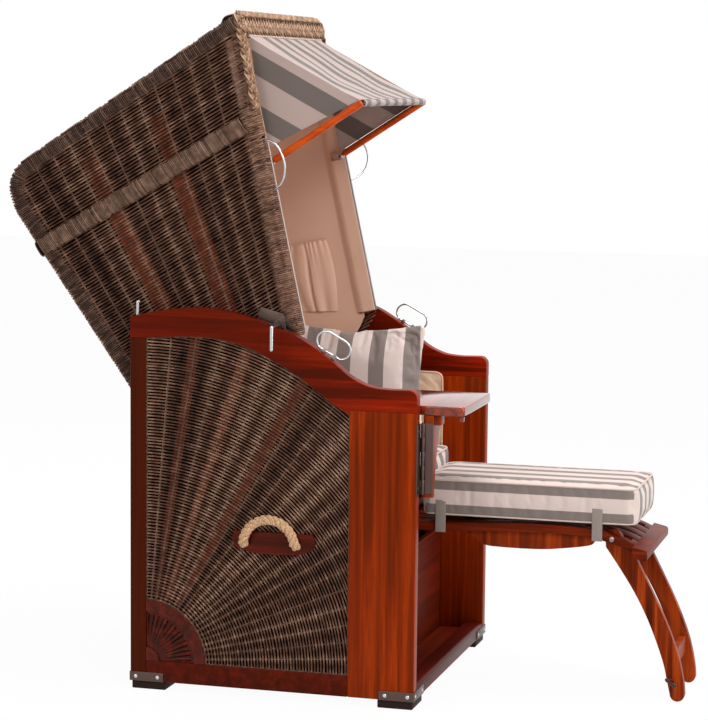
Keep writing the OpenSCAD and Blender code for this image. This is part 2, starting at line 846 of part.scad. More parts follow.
// cloth from under the front bar to the hem, sagging, with shallow folds
cloth_top = edge_at(1) - edge_out * 3
    - edge_dir * (front_bar_h - 2 + cloth_t / 2 + free_gap);
cloth_end = arm_tip + [1, hem_d / 2 + 2.6];
module awning_cloth() {
    nx = 32;
    ny = 14;
    w = base_w - 2 * arm_x;
    function cy(u, v) = cloth_top[0] + (cloth_end[0] - cloth_top[0]) * v;
    function sag(u, v) = -26 * sin(180 * v) * (0.55 + 0.45 * cos(180 * (u - 0.5)))
        + 4 * sin(180 * v) * sin(360 * 5 * u + 60 * v);
    function cz(u, v) = cloth_top[1] + (cloth_end[1] - cloth_top[1]) * v + sag(u, v);
    top = [for (i = [0 : nx], j = [0 : ny]) let (u = i / nx, v = j / ny)
        [arm_x + w * u, cy(u, v), cz(u, v) + cloth_t / 2]];
    low = [for (i = [0 : nx], j = [0 : ny]) let (u = i / nx, v = j / ny)
        [arm_x + w * u, cy(u, v), cz(u, v) - cloth_t / 2]];
    color(cloth_a) reclined() polyhedron(points = concat(top, low),
        faces = sheet_faces(nx, ny, (nx + 1) * (ny + 1)), convexity = 6);
}

// side cloth between the arm, the front edge and the top cloth
module awning_gussets() {
    g = hem_gap + 1;
    a = cloth_top + [-6, -16];
    b = arm_tip + [8, hem_gap + 6];
    c = arm_root + [-12, 16];
    color(cloth_a) reclined() both_sides() slab(arm_x - cloth_t - free_gap, cloth_t)
        polygon([a, b, c]);
}

// side table

hinge_x = panel_t + 3.5;
hinge_y = -6.5;
leaf_t = 2.5;
hinge_top = table_top_z - table_t - 18;
hinge_low = hinge_top - hinge_h;
knuckle_d = 10;
board_x = hinge_x + 7;
board_y = -102;
kn = hinge_h / 5;

module hinge_rod(r, z0, z1) { translate([hinge_x, hinge_y, z0]) cylinder(r = r, h = z1 - z0); }

// leaf on the post, with two knuckles and the pin
module post_leaf() {
    color(steel) {
        translate([0, -leaf_t, hinge_low]) cube([panel_t - 3, leaf_t, hinge_h]);
        for (k = [1, 3]) difference() {
            union() {
                translate([hinge_x, hinge_y, hinge_low + k * kn + free_gap])
                    cylinder(d = knuckle_d, h = kn - 2 * free_gap);
                translate([panel_t - 10, -leaf_t, hinge_low + k * kn + free_gap])
                    cube([12, leaf_t, kn - 2 * free_gap]);
            }
            translate([-1, 0, hinge_low]) cube([panel_t + 30, 40, hinge_h]);
        }
        hinge_rod(hinge_pin_d / 2, hinge_low - 2, hinge_top + 2);
        for (z = [hinge_low + 16, hinge_top - 16])
            translate([12, -leaf_t, z]) rotate([90, 0, 0]) dome_screw(4);
    }
}

// leaf on the table's board, with three knuckles
module table_leaf() {
    color(steel) difference() {
        union() {
            for (k = [0, 2, 4]) translate([hinge_x, hinge_y, hinge_low + k * kn])
                cylinder(d = knuckle_d, h = kn);
            translate([board_x - leaf_t, hinge_y - 23, hinge_low])
                cube([leaf_t, 19, hinge_h]);
            for (k = [0, 2, 4]) translate([hinge_x, hinge_y - 5, hinge_low + k * kn])
                cube([board_x - hinge_x, leaf_t, kn]);
        }
        hinge_rod(hinge_pin_d / 2 + fit, hinge_low - 5, hinge_top + 5);
        for (k = [1, 3]) translate([hinge_x, hinge_y, hinge_low + k * kn])
            cylinder(d = knuckle_d + 1, h = kn);
    }
}

module rounded_board(x, y, w, l, r) {
    translate([x, y]) {
        translate([r, 0]) square([w - 2 * r, l]);
        translate([0, r]) square([w, l - 2 * r]);
        for (i = [r, w - r], j = [r, l - r]) translate([i, j]) circle(r = r);
    }
}
module table_board() {
    z = table_top_z - table_t;
    color(wood) {
        translate([0, 0, z]) linear_extrude(height = table_t)
            rounded_board(board_x, board_y, table_len, table_wid, 10);
        translate([board_x + 6, board_y + 3, z - 13]) cube([12, 12, 13]);
    }
}

module table_gusset() {
    z0 = hinge_low - 9;
    z1 = table_top_z - table_t;
    y = hinge_y + 1;
    color(wood) {
        translate([0, hinge_y + 1, 0]) rotate([90, 0, 0]) linear_extrude(height = gusset_t)
            polygon(concat([[board_x, z1], [board_x, z0], [board_x + 18, z0]],
                spline([[board_x + 18, z0 + 6], [board_x + 27, z0 + 60],
                    [board_x + 46, z0 + 120], [board_x + 72, z0 + 165],
                    [board_x + 98, z1]])));
        translate([board_x + 12, hinge_y + 1 - gusset_t - 16, z1 - 24]) cube([30, 16, 24]);
    }
}

// footrest

rest_x = mid_x - rest_w / 2;
rest_in = 215;
slat_w = (rest_w - 4 * rest_slot) / 5;
rest_top = spline([[40, 401], [-12, 401], [-73, 404], [-160, 409], [-243, 411],
    [-310, 410], [-363, 406], [-400, 399], [-445, 386], [-478, 372]]);
bolt_y = -rest_out + 91;
bolt_z = 385;
notch_x = rest_x + 27;
leg_x = notch_x + 1;
tray_fit = 0.4;

module slat_2d() {
    top = concat([[rest_in, 401]], rest_top);
    low = [for (i = [len(top) - 1 : -1 : 0]) top[i] - [0, rest_slat_t]];
    polygon(concat(top, low));
}
cross_z = 379;
apron_x = rest_x + 8;
apron_t = 16;
cross_x = apron_x + apron_t + free_gap;
nosing_y = -rest_out;
module rest_slats() {
    color(wood) {
        difference() {
            union() {
                for (i = [0 : 4]) slab(rest_x + i * (slat_w + rest_slot), slat_w) slat_2d();
                for (y = [-330, -150, 20]) translate([cross_x, y, cross_z])
                    cube([base_w - 2 * cross_x, 30, 9]);
            }
            both_sides() translate([notch_x, bolt_y - 44, 330])
                cube([rest_leg_t + 2, 112, 100]);
            translate([rest_x - 5, bolt_y, bolt_z]) rotate([0, 90, 0])
                cylinder(d = rest_bolt_d, h = rest_w + 10);
            translate([0, carriage_y, carriage_z]) rotate([0, 90, 0])
                cylinder(d = dowel_d + 2 * fit, h = base_w);
            translate([rest_x, nosing_y - 20, 300]) cube([rest_w, 20 + 35, 200]);
        }
        slab(rest_x - 34, rest_w + 68) polygon(concat(
            [[nosing_y + 35, 376], [nosing_y + 35, 352]],
            arc(nosing_y + 9, 352, 9, 270, 180, 5), arc(nosing_y + 9, 361, 9, 180, 90, 5)));
    }
}

module rest_aprons() {
    under = [for (i = [len(rest_top) - 1 : -1 : 0]) if (rest_top[i][0] <= -62
        && rest_top[i][0] >= -372) rest_top[i] - [0, rest_slat_t + free_gap]];
    color(wood) both_sides() slab(apron_x, apron_t) polygon(concat(
        spline([[-62, 379], [-83, 369], [-106, 353], [-145, 349], [-230, 349],
            [-290, 354], [-362, 366], [-372, 379]]), under));
}

module rest_bolts() {
    color(steel) both_sides() {
        translate([rest_x, bolt_y, bolt_z]) rotate([0, -90, 0]) dome_screw(6.5);
        translate([rest_x, bolt_y, bolt_z]) rotate([0, 90, 0])
            cylinder(d = rest_bolt_d, h = 27 + rest_leg_t + 6);
    }
}

module leg_2d() {
    d = bolt_y + 414;
    translate([d, 0]) polygon(concat(
        arc(-414, 385, 19, 150, -10, 10),
        spline([[-397, 361], [-428, 317], [-465, 260], [-496, 202], [-521, 143],
            [-540, 89], [-549, 50], [-556.5, 17.5]]),
        arc(-574, 17.5, 17.5, -15, -165, 9),
        spline([[-591.5, 17.5], [-588, 50], [-576, 104], [-556, 160],
            [-531, 216], [-499, 279], [-466, 344]])));
}
module rest_legs() {
    d = bolt_y + 414;
    difference() {
        union() {
            color(wood) both_sides() slab(leg_x, rest_leg_t) leg_2d();
            color(wood) translate([leg_x + rest_leg_t, -566 + d, 76])
                cube([base_w - 2 * leg_x - 2 * rest_leg_t, 16, 40]);
            color(steel) both_sides() translate([leg_x, -560 + d, 48])
                rotate([0, -90, 0]) cylinder(d = 16, h = 9);
        }
        translate([0, bolt_y, bolt_z]) rotate([0, 90, 0])
            cylinder(d = rest_bolt_d + 2 * fit, h = base_w);
    }
}

dowel_d = 12;
carriage_y = 195;
carriage_z = 389;
runner_x = rest_x - 12;
block_h = 20;
module rest_carriage() {
    color(wood) {
        translate([runner_x - 7, carriage_y, carriage_z]) rotate([0, 90, 0])
            cylinder(d = dowel_d, h = base_w - 2 * (runner_x - 7));
        both_sides() translate([runner_x - 7, carriage_y - 16, carriage_z - block_h / 2])
            cube([7 - free_gap, 32, block_h]);
    }
}

module footrest_runners() {
    color(wood) both_sides() difference() {
        translate([runner_x - 18, kick_y + board_t, 362])
            cube([18, rear_wall_front - kick_y - board_t, seat_board_z - 362]);
        translate([runner_x - 7 - free_gap, carriage_y - 16 - free_gap,
            carriage_z - block_h / 2 - free_gap])
            cube([20, 32 + rest_slide + 2 * free_gap, block_h + 2 * free_gap]);
    }
}
rest_slide = 25;

rest_cushion_l = 525;
rest_cushion_y = 49;
module rest_cushion() {
    color(cloth_a) translate([mid_x, rest_cushion_y - rest_cushion_l / 2, 413])
        cushion_form(rest_cushion_w, rest_cushion_l, rest_cushion_h + 6, 0.10, 0.012, 16, 22);
}

strap_w = 25;
module rest_straps() {
    color(cloth_b) for (y = [-2, -381]) both_sides()
        translate([rest_x - 9.1, y - strap_w / 2, 380]) cube([1.5, strap_w, 78]);
}

// drawing

in_frame() top_rail();  // right_top_rail
in_frame() other_side() top_rail();  // left_top_rail
in_frame() posts();  // right_posts
in_frame() other_side() posts();  // left_posts
in_frame() bottom_rails();
in_frame() shell_corners();
in_frame() wicker_panels();
in_frame() handle_plates();
in_frame() rope_handles();
in_frame() feet();
in_frame() corner_shoes();
in_frame() shoe_screws();
in_frame() front_sill();
in_frame() rear_wall();
in_frame() floor_board();
in_frame() kick_board();
in_frame() seat_board();
in_frame() footrest_runners();
in_frame() arm_brackets();
in_frame() ring_clips();
in_frame() post_leaf();
in_frame() side_pad();  // right_side_pad
in_frame() other_side() side_pad();  // left_side_pad
in_frame() seat_cushion();
in_frame() throw_pillow();
in_frame() hood_side();  // right_hood_side
in_frame() other_side() hood_side();  // left_hood_side
in_frame() hood_shell();
in_frame() hood_slats();
in_frame() front_bar();
in_frame() edge_rolls();
in_frame() hood_rims();
in_frame() hood_band();
in_frame() hood_lining();
in_frame() back_pad();
in_frame() hood_pockets();
in_frame() grab_bows();
in_frame() hood_plates();
in_frame() arm_sockets();
in_frame() awning_arms();
in_frame() awning_hem();
in_frame() awning_cloth();
in_frame() awning_gussets();
in_frame() table_board();
in_frame() table_gusset();
in_frame() table_leaf();
in_frame() rest_carriage();
in_frame() rest_slats();
in_frame() rest_aprons();
in_frame() rest_bolts();
in_frame() rest_cushion();
in_frame() rest_straps();
in_frame() rest_legs();
in_frame() hood_pin();  // right_hood_pin
in_frame() other_side() hood_pin();  // left_hood_pin
in_frame() rear_pin();  // right_rear_pin
in_frame() other_side() rear_pin();  // left_rear_pin
in_frame() drink_ring();  // right_drink_ring
in_frame() other_side() drink_ring();  // left_drink_ring
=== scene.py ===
import json
import math
import random

import bpy
import numpy as np
from mathutils import Matrix, Vector
from mathutils.bvhtree import BVHTree


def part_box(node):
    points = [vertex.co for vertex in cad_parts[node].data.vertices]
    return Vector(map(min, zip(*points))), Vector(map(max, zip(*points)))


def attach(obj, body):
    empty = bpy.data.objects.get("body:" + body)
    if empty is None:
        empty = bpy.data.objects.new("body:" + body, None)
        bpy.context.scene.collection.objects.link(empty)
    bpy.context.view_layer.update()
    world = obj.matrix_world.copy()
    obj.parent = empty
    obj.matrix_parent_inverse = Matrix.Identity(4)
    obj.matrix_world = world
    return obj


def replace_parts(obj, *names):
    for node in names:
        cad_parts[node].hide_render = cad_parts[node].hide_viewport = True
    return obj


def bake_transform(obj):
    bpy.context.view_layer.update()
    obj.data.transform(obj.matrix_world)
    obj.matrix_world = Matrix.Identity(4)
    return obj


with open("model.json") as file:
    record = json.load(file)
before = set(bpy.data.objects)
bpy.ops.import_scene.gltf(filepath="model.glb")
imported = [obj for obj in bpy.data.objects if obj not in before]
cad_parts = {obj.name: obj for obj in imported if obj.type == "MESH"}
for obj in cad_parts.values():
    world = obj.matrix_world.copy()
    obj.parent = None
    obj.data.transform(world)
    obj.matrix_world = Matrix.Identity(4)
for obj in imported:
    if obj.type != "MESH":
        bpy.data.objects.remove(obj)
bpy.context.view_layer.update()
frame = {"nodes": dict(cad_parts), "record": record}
nodes, record = frame["nodes"], frame["record"]
slotOf = {part["node"]: part["material_slot"] for part in record["subparts"]}
bodyOf = {node: body for body, names in record["behaviour"]["bodies"].items() for node in names}
sides = ("right", "left")
print("frame loaded")

# the chair is drawn in millimetres; the frame counts metres from the middle of the base
chair = {"midX": 379.0, "midY": 217.0, "width": 758.0, "pivotY": 335.0, "pivotZ": 887.0,
         "lean": 33.2}


def spot(x, y, z):
    return Vector(((x - chair["midX"]) / 1000, (y - chair["midY"]) / 1000, z / 1000))


def turnedBy(y, z, degrees):
    # y and z turned about the hood's pivot
    c, s = math.cos(math.radians(degrees)), math.sin(math.radians(degrees))
    dy, dz = y - chair["pivotY"], z - chair["pivotZ"]
    return chair["pivotY"] + dy * c - dz * s, chair["pivotZ"] + dy * s + dz * c


def hoodSpot(x, y, z):
    # a point of the upright hood, leant back about its pivot
    return spot(x, *turnedBy(y, z, -chair["lean"]))


def hoodWay(x, y, z):
    # a direction of the upright hood, leant back with it
    return (hoodSpot(x, y, z) - hoodSpot(0, 0, 0)).normalized()


def uprightPlace(co):
    # back from the leant hood to its upright y and z
    return turnedBy(co.y * 1000 + chair["midY"], co.z * 1000, chair["lean"])


def sideX(side, x):
    # x of the right side, or the same place on the left
    return x if side == "right" else chair["width"] - x


def sideSign(side):
    return 1 if side == "right" else -1


def newObject(name, data):
    piece = bpy.data.objects.new(name, data)
    bpy.context.scene.collection.objects.link(piece)
    return piece


view = {"yaw": 0.2727235, "pitch": 0.1147385, "roll": 0.0097456, "lens": 120.77, "sensor": 36,
        "reach": 60, "place": (-5.6934, -1.5526, 1.4502)}


def setCamera():
    # the viewing angle of the photograph
    yaw, pitch, roll = view["yaw"], view["pitch"], view["roll"]
    ahead = Vector((math.cos(yaw) * math.cos(pitch), math.sin(yaw) * math.cos(pitch),
                    -math.sin(pitch)))
    level = Vector((math.sin(yaw), -math.cos(yaw), 0))
    above = level.cross(ahead)
    right = level * math.cos(roll) + above * math.sin(roll)
    up = above * math.cos(roll) - level * math.sin(roll)
    data = bpy.data.cameras.new("photoCamera")
    data.lens, data.sensor_width, data.clip_end = view["lens"], view["sensor"], view["reach"]
    camera = newObject("photoCamera", data)
    matrix = Matrix((right, up, -ahead)).transposed().to_4x4()
    matrix.translation = Vector(view["place"])
    camera.matrix_world = matrix
    bpy.context.scene.camera = camera


setCamera()


def clearSelection():
    if bpy.context.object and bpy.context.object.mode != "OBJECT":
        bpy.ops.object.mode_set(mode="OBJECT")
    bpy.ops.object.select_all(action="DESELECT")


def pick(piece):
    clearSelection()
    piece.select_set(True)
    bpy.context.view_layer.objects.active = piece


def paint(piece, material):
    piece.data.materials.clear()
    piece.data.materials.append(material)


def placeIn(piece, body, material, slot, *replaced):
    paint(piece, material)
    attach(piece, body)
    if replaced:
        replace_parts(piece, *replaced)
    return piece


def meshPiece(name, points, faces):
    data = bpy.data.meshes.new(name)
    data.from_pydata([tuple(p) for p in points], [], faces)
    data.update()
    return newObject(name, data)


# the sharpest angle, in degrees, that is still shaded smooth
smoothing = {"board": 35, "core": 50, "nut": 50, "cloth": 60, "rope": 70, "cord": 80}


def smooth(piece, kind):
    pick(piece)
    bpy.ops.object.shade_smooth_by_angle(angle=math.radians(smoothing[kind]))


def modify(piece, kind, **values):
    # one modifier, set and applied
    pick(piece)
    step = piece.modifiers.new(kind.lower(), kind)
    for key, value in values.items():
        setattr(step, key, value)
    bpy.ops.object.modifier_apply(modifier=step.name)


def editMesh(piece, *steps):
    # mesh operators, each run on all of the piece
    pick(piece)
    bpy.ops.object.mode_set(mode="EDIT")
    bpy.ops.mesh.select_all(action="SELECT")
    for operator, values in steps:
        operator(**values)
    bpy.ops.object.mode_set(mode="OBJECT")


def fixNormals(piece):
    editMesh(piece, (bpy.ops.mesh.normals_make_consistent, {"inside": False}))


def strandPiece(name, paths, radius, sideSteps=0, closed=False):
    # every path becomes a round strand; all of them are one mesh
    curve = bpy.data.curves.new(name, "CURVE")
    curve.dimensions = "3D"
    curve.bevel_depth = radius
    curve.bevel_resolution = sideSteps
    curve.use_fill_caps = True
    for path in paths:
        line = curve.splines.new("POLY")
        line.points.add(len(path) - 1)
        for point, p in zip(line.points, path):
            point.co = (p[0], p[1], p[2], 1)
        line.use_cyclic_u = closed
    pick(newObject(name, curve))
    bpy.ops.object.convert(target="MESH")
    return bpy.context.object


def sewnCord(name, lines, radius, body, material, slot, sideSteps=1, closed=False):
    cord = strandPiece(name, lines, radius, sideSteps, closed)
    placeIn(cord, body, material, slot)
    smooth(cord, "cord")


def joined(name, pieces):
    clearSelection()
    for p in pieces:
        p.select_set(True)
    bpy.context.view_layer.objects.active = pieces[0]
    bpy.ops.object.join()
    piece = bpy.context.object
    piece.name = piece.data.name = name
    return piece


def copyOf(node, name):
    # a free copy of a solid of the frame
    piece = nodes[node].copy()
    piece.data = piece.data.copy()
    for key in list(piece.keys()):
        del piece[key]
    piece.parent = None
    piece.name = name
    bpy.context.scene.collection.objects.link(piece)
    return piece


easing = {"merge": 0.00002, "flat": 1, "angle": 30}


def softEdged(node, width, segments):
    # a copy of a solid with its edges eased, which stands for it
    piece = copyOf(node, node + "Eased")
    editMesh(piece, (bpy.ops.mesh.remove_doubles, {"threshold": easing["merge"]}),
             (bpy.ops.mesh.dissolve_limited, {"angle_limit": math.radians(easing["flat"])}))
    modify(piece, "BEVEL", width=width, segments=segments, limit_method="ANGLE",
           angle_limit=math.radians(easing["angle"]), harden_normals=False)
    smooth(piece, "board")
    return piece


def spline(points, steps=5):
    # a smooth line through the points
    out = []
    for i in range(len(points) - 1):
        a = points[max(i - 1, 0)]
        b, c = points[i], points[i + 1]
        d = points[min(i + 2, len(points) - 1)]
        for k in range(steps):
            t = k / steps
            out.append(tuple(0.5 * (2 * b[n] + (c[n] - a[n]) * t
                                    + (2 * a[n] - 5 * b[n] + 4 * c[n] - d[n]) * t * t
                                    + (3 * b[n] - a[n] - 3 * c[n] + d[n]) * t ** 3)
                             for n in range(len(b))))
    out.append(tuple(points[-1]))
    return out


def evenly(points, step):
    # the same line with points a set distance apart
    pts = [Vector(p) for p in points]
    lengths = [0.0]
    for a, b in zip(pts, pts[1:]):
        lengths.append(lengths[-1] + (b - a).length)
    count = max(2, round(lengths[-1] / step))
    out, seg = [], 0
    for k in range(count + 1):
        want = lengths[-1] * k / count
        while seg < len(pts) - 2 and lengths[seg + 1] < want:
            seg += 1
        span = max(1e-9, lengths[seg + 1] - lengths[seg])
        out.append(pts[seg].lerp(pts[seg + 1], min(1, (want - lengths[seg]) / span)))
    return out


def upright(outline):
    # (y, z) points as vectors in a side plane
    return [Vector((0, y, z)) for y, z in outline]


def insideOutline(y, z, outline):
    hit = False
    for (y0, z0), (y1, z1) in zip(outline, outline[1:] + outline[:1]):
        if (z0 > z) != (z1 > z) and y < (y1 - y0) * (z - z0) / (z1 - z0) + y0:
            hit = not hit
    return hit


def crossing(outline, p, q):
    # the last place inside the outline on the way from p, inside, to q, outside
    for _ in range(12):
        m = ((p[0] + q[0]) / 2, (p[1] + q[1]) / 2)
        if insideOutline(m[0], m[1], outline):
            p = m
        else:
            q = m
    return p


def clippedRuns(points, outline):
    # the stretches of a line of (y, z, stake) that lie inside, ended on the outline
    runs, run, last = [], [], None
    for y, z, stake in points:
        inside = insideOutline(y, z, outline)
        if inside and not run and last and not last[3]:
            run.append(crossing(outline, (y, z), last) + (None,))
        if inside:
            run.append((y, z, stake))
        elif run:
            run.append(crossing(outline, run[-1], (y, z)) + (None,))
            runs.append(run)
            run = []
        last = (y, z, stake, inside)
    if run:
        runs.append(run)
    return [r for r in runs if len(r) > 1]


def slab(name, outline, low, high, place):
    # a closed sheet with the outline as its face, between two distances
    pts = [place(x, y, z) for x in (low, high) for y, z in outline]
    n = len(outline)
    faces = [tuple(reversed(range(n))), tuple(range(n, 2 * n))]
    faces += [(i, (i + 1) % n, (i + 1) % n + n, i + n) for i in range(n)]
    return meshPiece(name, pts, faces)


def gridFaces(nu, nv):
    # quads of a grid whose points run along v first
    n = nv + 1
    return [(i * n + j, (i + 1) * n + j, (i + 1) * n + j + 1, i * n + j + 1)
            for i in range(nu) for j in range(nv)]


# shader nodes: settings by name, and inputs set to a value or linked to an output
def fill(tree, node, values):
    for key, value in values.items():
        if isinstance(value, (int, float, tuple)):
            node.inputs[key].default_value = value
        else:
            tree.links.new(value, node.inputs[key])


def addNode(tree, kind, values=(), **settings):
    node = tree.nodes.new("ShaderNode" + kind)
    for key, value in settings.items():
        setattr(node, key, value)
    fill(tree, node, dict(values))
    return node


def newMaterial(name):
    m = bpy.data.materials.new(name)
    m.use_nodes = True
    return m, m.node_tree, m.node_tree.nodes["Principled BSDF"]


def linear(r, g, b):
    return tuple((c / 255 / 12.92 if c <= 10 else ((c / 255 + 0.055) / 1.055) ** 2.4)
                 for c in (r, g, b)) + (1,)


black, white = (0, 0, 0, 1), (1, 1, 1, 1)


def rampNode(tree, source, stops):
    ramp = addNode(tree, "ValToRGB", {0: source})
    elements = ramp.color_ramp.elements
    for k in (0, -1):
        elements[k].position, elements[k].color = stops[k]
    for where, colour in stops[1:-1]:
        elements.new(where).color = colour
    return ramp.outputs[0]


def mathNode(tree, operation, *values, clamp=False):
    return addNode(tree, "Math", enumerate(values), operation=operation,
                   use_clamp=clamp).outputs[0]


def mixColour(tree, mask, a, b, blend="MIX"):
    return addNode(tree, "Mix", {0: mask, 6: a, 7: b}, data_type="RGBA",
                   blend_type=blend).outputs[2]


def noiseNode(tree, place, scale, detail=2, bend=0.0):
    return addNode(tree, "TexNoise", {"Vector": place, "Scale": scale, "Detail": detail,
                                      "Distortion": bend}).outputs["Fac"]


def bumped(tree, height, strength, distance):
    return addNode(tree, "Bump", {"Strength": strength, "Distance": distance,
                                  "Height": height}).outputs[0]


def objectPlace(tree, turn=(0, 0, 0), move=(0, 0, 0)):
    where = addNode(tree, "TexCoord").outputs["Object"]
    return addNode(tree, "Mapping", {"Vector": where, "Rotation": turn,
                                     "Location": move}).outputs[0]


def ownMeasure(tree, name):
    # a value stored in the mesh
    return addNode(tree, "Attribute", attribute_name=name).outputs["Fac"]


def nodeGroup(name, socket, kind, outputs):
    g = bpy.data.node_groups.new(name, "ShaderNodeTree")
    g.interface.new_socket(socket, in_out="INPUT", socket_type=kind)
    for output in outputs:
        g.interface.new_socket(output, in_out="OUTPUT", socket_type="NodeSocketFloat")
    return g, g.nodes.new("NodeGroupInput").outputs[socket], g.nodes.new("NodeGroupOutput")


grain = {"stretch": (1.0, 30, 30), "scale": 1.6, "detail": 5, "bend": 0.8,
         "poreStretch": (14, 420, 420), "poreDetail": 3, "pores": (0.45, 0.72), "height": 0.4}


def grainGroup():
    # long wood grain along X of the given place
    g, place, result = nodeGroup("longGrain", "Place", "NodeSocketVector",
                                 ("Figure", "Lines", "Height"))

    def stretched(amount):
        return addNode(g, "VectorMath", {0: place, 1: amount}, operation="MULTIPLY").outputs[0]
    figure = noiseNode(g, stretched(grain["stretch"]), grain["scale"], grain["detail"],
                       grain["bend"])
    pores = noiseNode(g, stretched(grain["poreStretch"]), 1.0, grain["poreDetail"])
    lines = rampNode(g, pores, [(grain["pores"][0], black), (grain["pores"][1], white)])
    fill(g, result, {"Figure": figure, "Lines": lines,
                     "Height": mathNode(g, "MULTIPLY", lines, grain["height"])})
    return g


def edgeLightGroup():
    # painted highlight on edges and painted shade in hollows, from the surface's pointiness
    g, strength, result = nodeGroup("edgeLight", "Strength", "NodeSocketFloat",
                                    ("EdgeHighlight", "HollowShade"))
    point = addNode(g, "NewGeometry").outputs["Pointiness"]
    for name, stops in (("EdgeHighlight", [(0.505, black), (0.58, white)]),
                        ("HollowShade", [(0.40, white), (0.495, black)])):
        fill(g, result, {name: mathNode(g, "MULTIPLY", rampNode(g, point, stops), strength)})
    return g


longGrain, edgeLight = grainGroup(), edgeLightGroup()


# the painted edge highlight and painted hollow shade, at the given strength
def paintedLight(tree, strength):
    return addNode(tree, "Group", {"Strength": strength}, node_tree=edgeLight).outputs


# light, middle and dark tone of each wood
woodTones = {
    "mahogany": ((154, 50, 5), (112, 28, 2), (50, 8, 1)),
    "deepRed": ((92, 20, 8), (66, 11, 6), (36, 5, 4)),
    "inside": ((118, 34, 14), (88, 22, 10), (46, 9, 5)),
    "rail": ((148, 30, 3), (114, 17, 2), (58, 6, 1)),
    "tray": ((118, 36, 8), (88, 21, 5), (46, 8, 3)),
    "slat": ((146, 60, 32), (120, 44, 22), (80, 27, 13)),
    "panelSlat": ((104, 42, 26), (84, 31, 19), (58, 20, 12)),
    "bright": ((158, 60, 15), (122, 37, 8), (70, 17, 4)),
    "orange": ((206, 84, 22), (180, 60, 14), (122, 32, 6)),
}
woodLook = {"stops": (0.36, 0.49, 0.64), "lines": 0.6, "paintedLight": 0.5, "roughSpread": 0.12,
            "bump": 0.10, "bumpDepth": 0.0006, "coatRough": 0.12, "specular": 0.16,
            "tint": (1.0, 0.42, 0.16, 1), "shift": (1, 0.7, 1.3)}


def paintedShadeBeyond(tree, colour, dark, direction, start, end, amount):
    # painted shade: darker beyond a place along one direction of the frame
    along = addNode(tree, "VectorMath", {0: objectPlace(tree), 1: direction},
                    operation="DOT_PRODUCT").outputs["Value"]
    far = mathNode(tree, "DIVIDE", mathNode(tree, "SUBTRACT", along, start), end - start,
                   clamp=True)
    return mixColour(tree, mathNode(tree, "MULTIPLY", far, amount), colour, dark)


def woodMaterial(name, tone, turn, shift=0.0, gloss=0.36, coat=0.03, paintedShade=None):
    m, tree, shader = newMaterial(name)
    place = objectPlace(tree, turn, tuple(shift * k for k in woodLook["shift"]))
    own = addNode(tree, "Group", {"Place": place}, node_tree=longGrain).outputs
    light, middle, dark = [linear(*c) for c in woodTones[tone]]
    figure = rampNode(tree, own["Figure"], list(zip(woodLook["stops"], (dark, middle, light))))
    lined = mixColour(tree, own["Lines"], figure, dark)
    half = mixColour(tree, woodLook["lines"], figure, lined)
    # painted highlight on the edges and painted shade in the hollows
    painted = paintedLight(tree, woodLook["paintedLight"])
    colour = mixColour(tree, painted["HollowShade"], mixColour(tree, painted["EdgeHighlight"], half, light), dark)
    if paintedShade:
        colour = paintedShadeBeyond(tree, colour, dark, *paintedShade)
    fill(tree, shader, {
        "Base Color": colour, "Coat Weight": coat, "Coat Roughness": woodLook["coatRough"],
        "Roughness": mathNode(tree, "MULTIPLY_ADD", own["Figure"], woodLook["roughSpread"],
                              gloss),
        "Specular IOR Level": woodLook["specular"], "Specular Tint": woodLook["tint"],
        "Normal": bumped(tree, own["Height"], woodLook["bump"], woodLook["bumpDepth"])})
    return m


alongX, alongY, alongZ = (0, 0, 0), (0, 0, math.radians(90)), (0, math.radians(90), 0)
upHood = tuple(hoodWay(0, 0, 1))
bandPlace = hoodSpot(0, 420, 1318).dot(Vector(upHood))
# painted shade: the posts and rails darken towards the back, and the hood's slats darken above
# the band
postWood = woodMaterial("postWood", "mahogany", alongZ, 0.3, paintedShade=((0, 1, 0), 0.10, 0.36, 0.9))
railWood = woodMaterial("railWood", "rail", alongY, 1.1, paintedShade=((0, 1, 0), -0.14, 0.12, 0.62))
plateWood = woodMaterial("plateWood", "deepRed", alongY, 1.6, 0.3, 0.1)
sillWood = woodMaterial("sillWood", "deepRed", alongX, 2.3)
insideWood = woodMaterial("insideWood", "inside", alongX, 0.9, 0.45, 0.0)
carvedWood = woodMaterial("carvedWood", "deepRed", alongX, 3.1, 0.26, 0.22)
trayWood = woodMaterial("trayWood", "tray", alongY, 4.2)
legWood = woodMaterial("legWood", "bright", alongZ, 5.0)
tableWood = woodMaterial("tableWood", "mahogany", alongX, 1.9, 0.10, 1.0)
gussetWood = woodMaterial("gussetWood", "bright", alongZ, 2.8, 0.28, 0.1)
armWood = woodMaterial("armWood", "orange", alongY, 2.2, 0.28, 0.08)
slatWood = woodMaterial("slatWood", "panelSlat", alongZ, 6.0, 0.5, 0.0)
hoodSlatWood = woodMaterial("hoodSlatWood", "slat", alongZ, 7.0, 0.5, 0.0,
                            (upHood, bandPlace, bandPlace + 0.06, 0.92))

# dark, middle and light tone of each kind of strand
strandTones = {
    "woven": ((38, 20, 14), (102, 70, 55), (168, 132, 110)),
    "stake": ((46, 30, 24), (90, 66, 54), (134, 106, 90)),
    "wrap": ((44, 28, 22), (112, 80, 66), (170, 134, 112)),
    "rim": ((32, 21, 17), (66, 47, 39), (112, 87, 74)),
    "band": ((52, 34, 28), (104, 78, 65), (152, 122, 104)),
    "collar": ((74, 50, 40), (126, 94, 76), (170, 136, 112)),
    "bar": ((66, 42, 30), (142, 108, 84), (200, 168, 138)),
    "braid": ((70, 46, 34), (148, 114, 90), (208, 174, 144)),
}
strandLook = {"stops": (0.22, 0.5, 0.80), "patchScale": 60, "patchDetail": 4, "patch": 0.55,
              "own": 0.5, "fineScale": 900, "paintedLight": 0.6, "rough": 0.42, "specular": 0.22,
              "tint": (1.0, 0.80, 0.66, 1), "bump": 0.25, "bumpDepth": 0.0004}


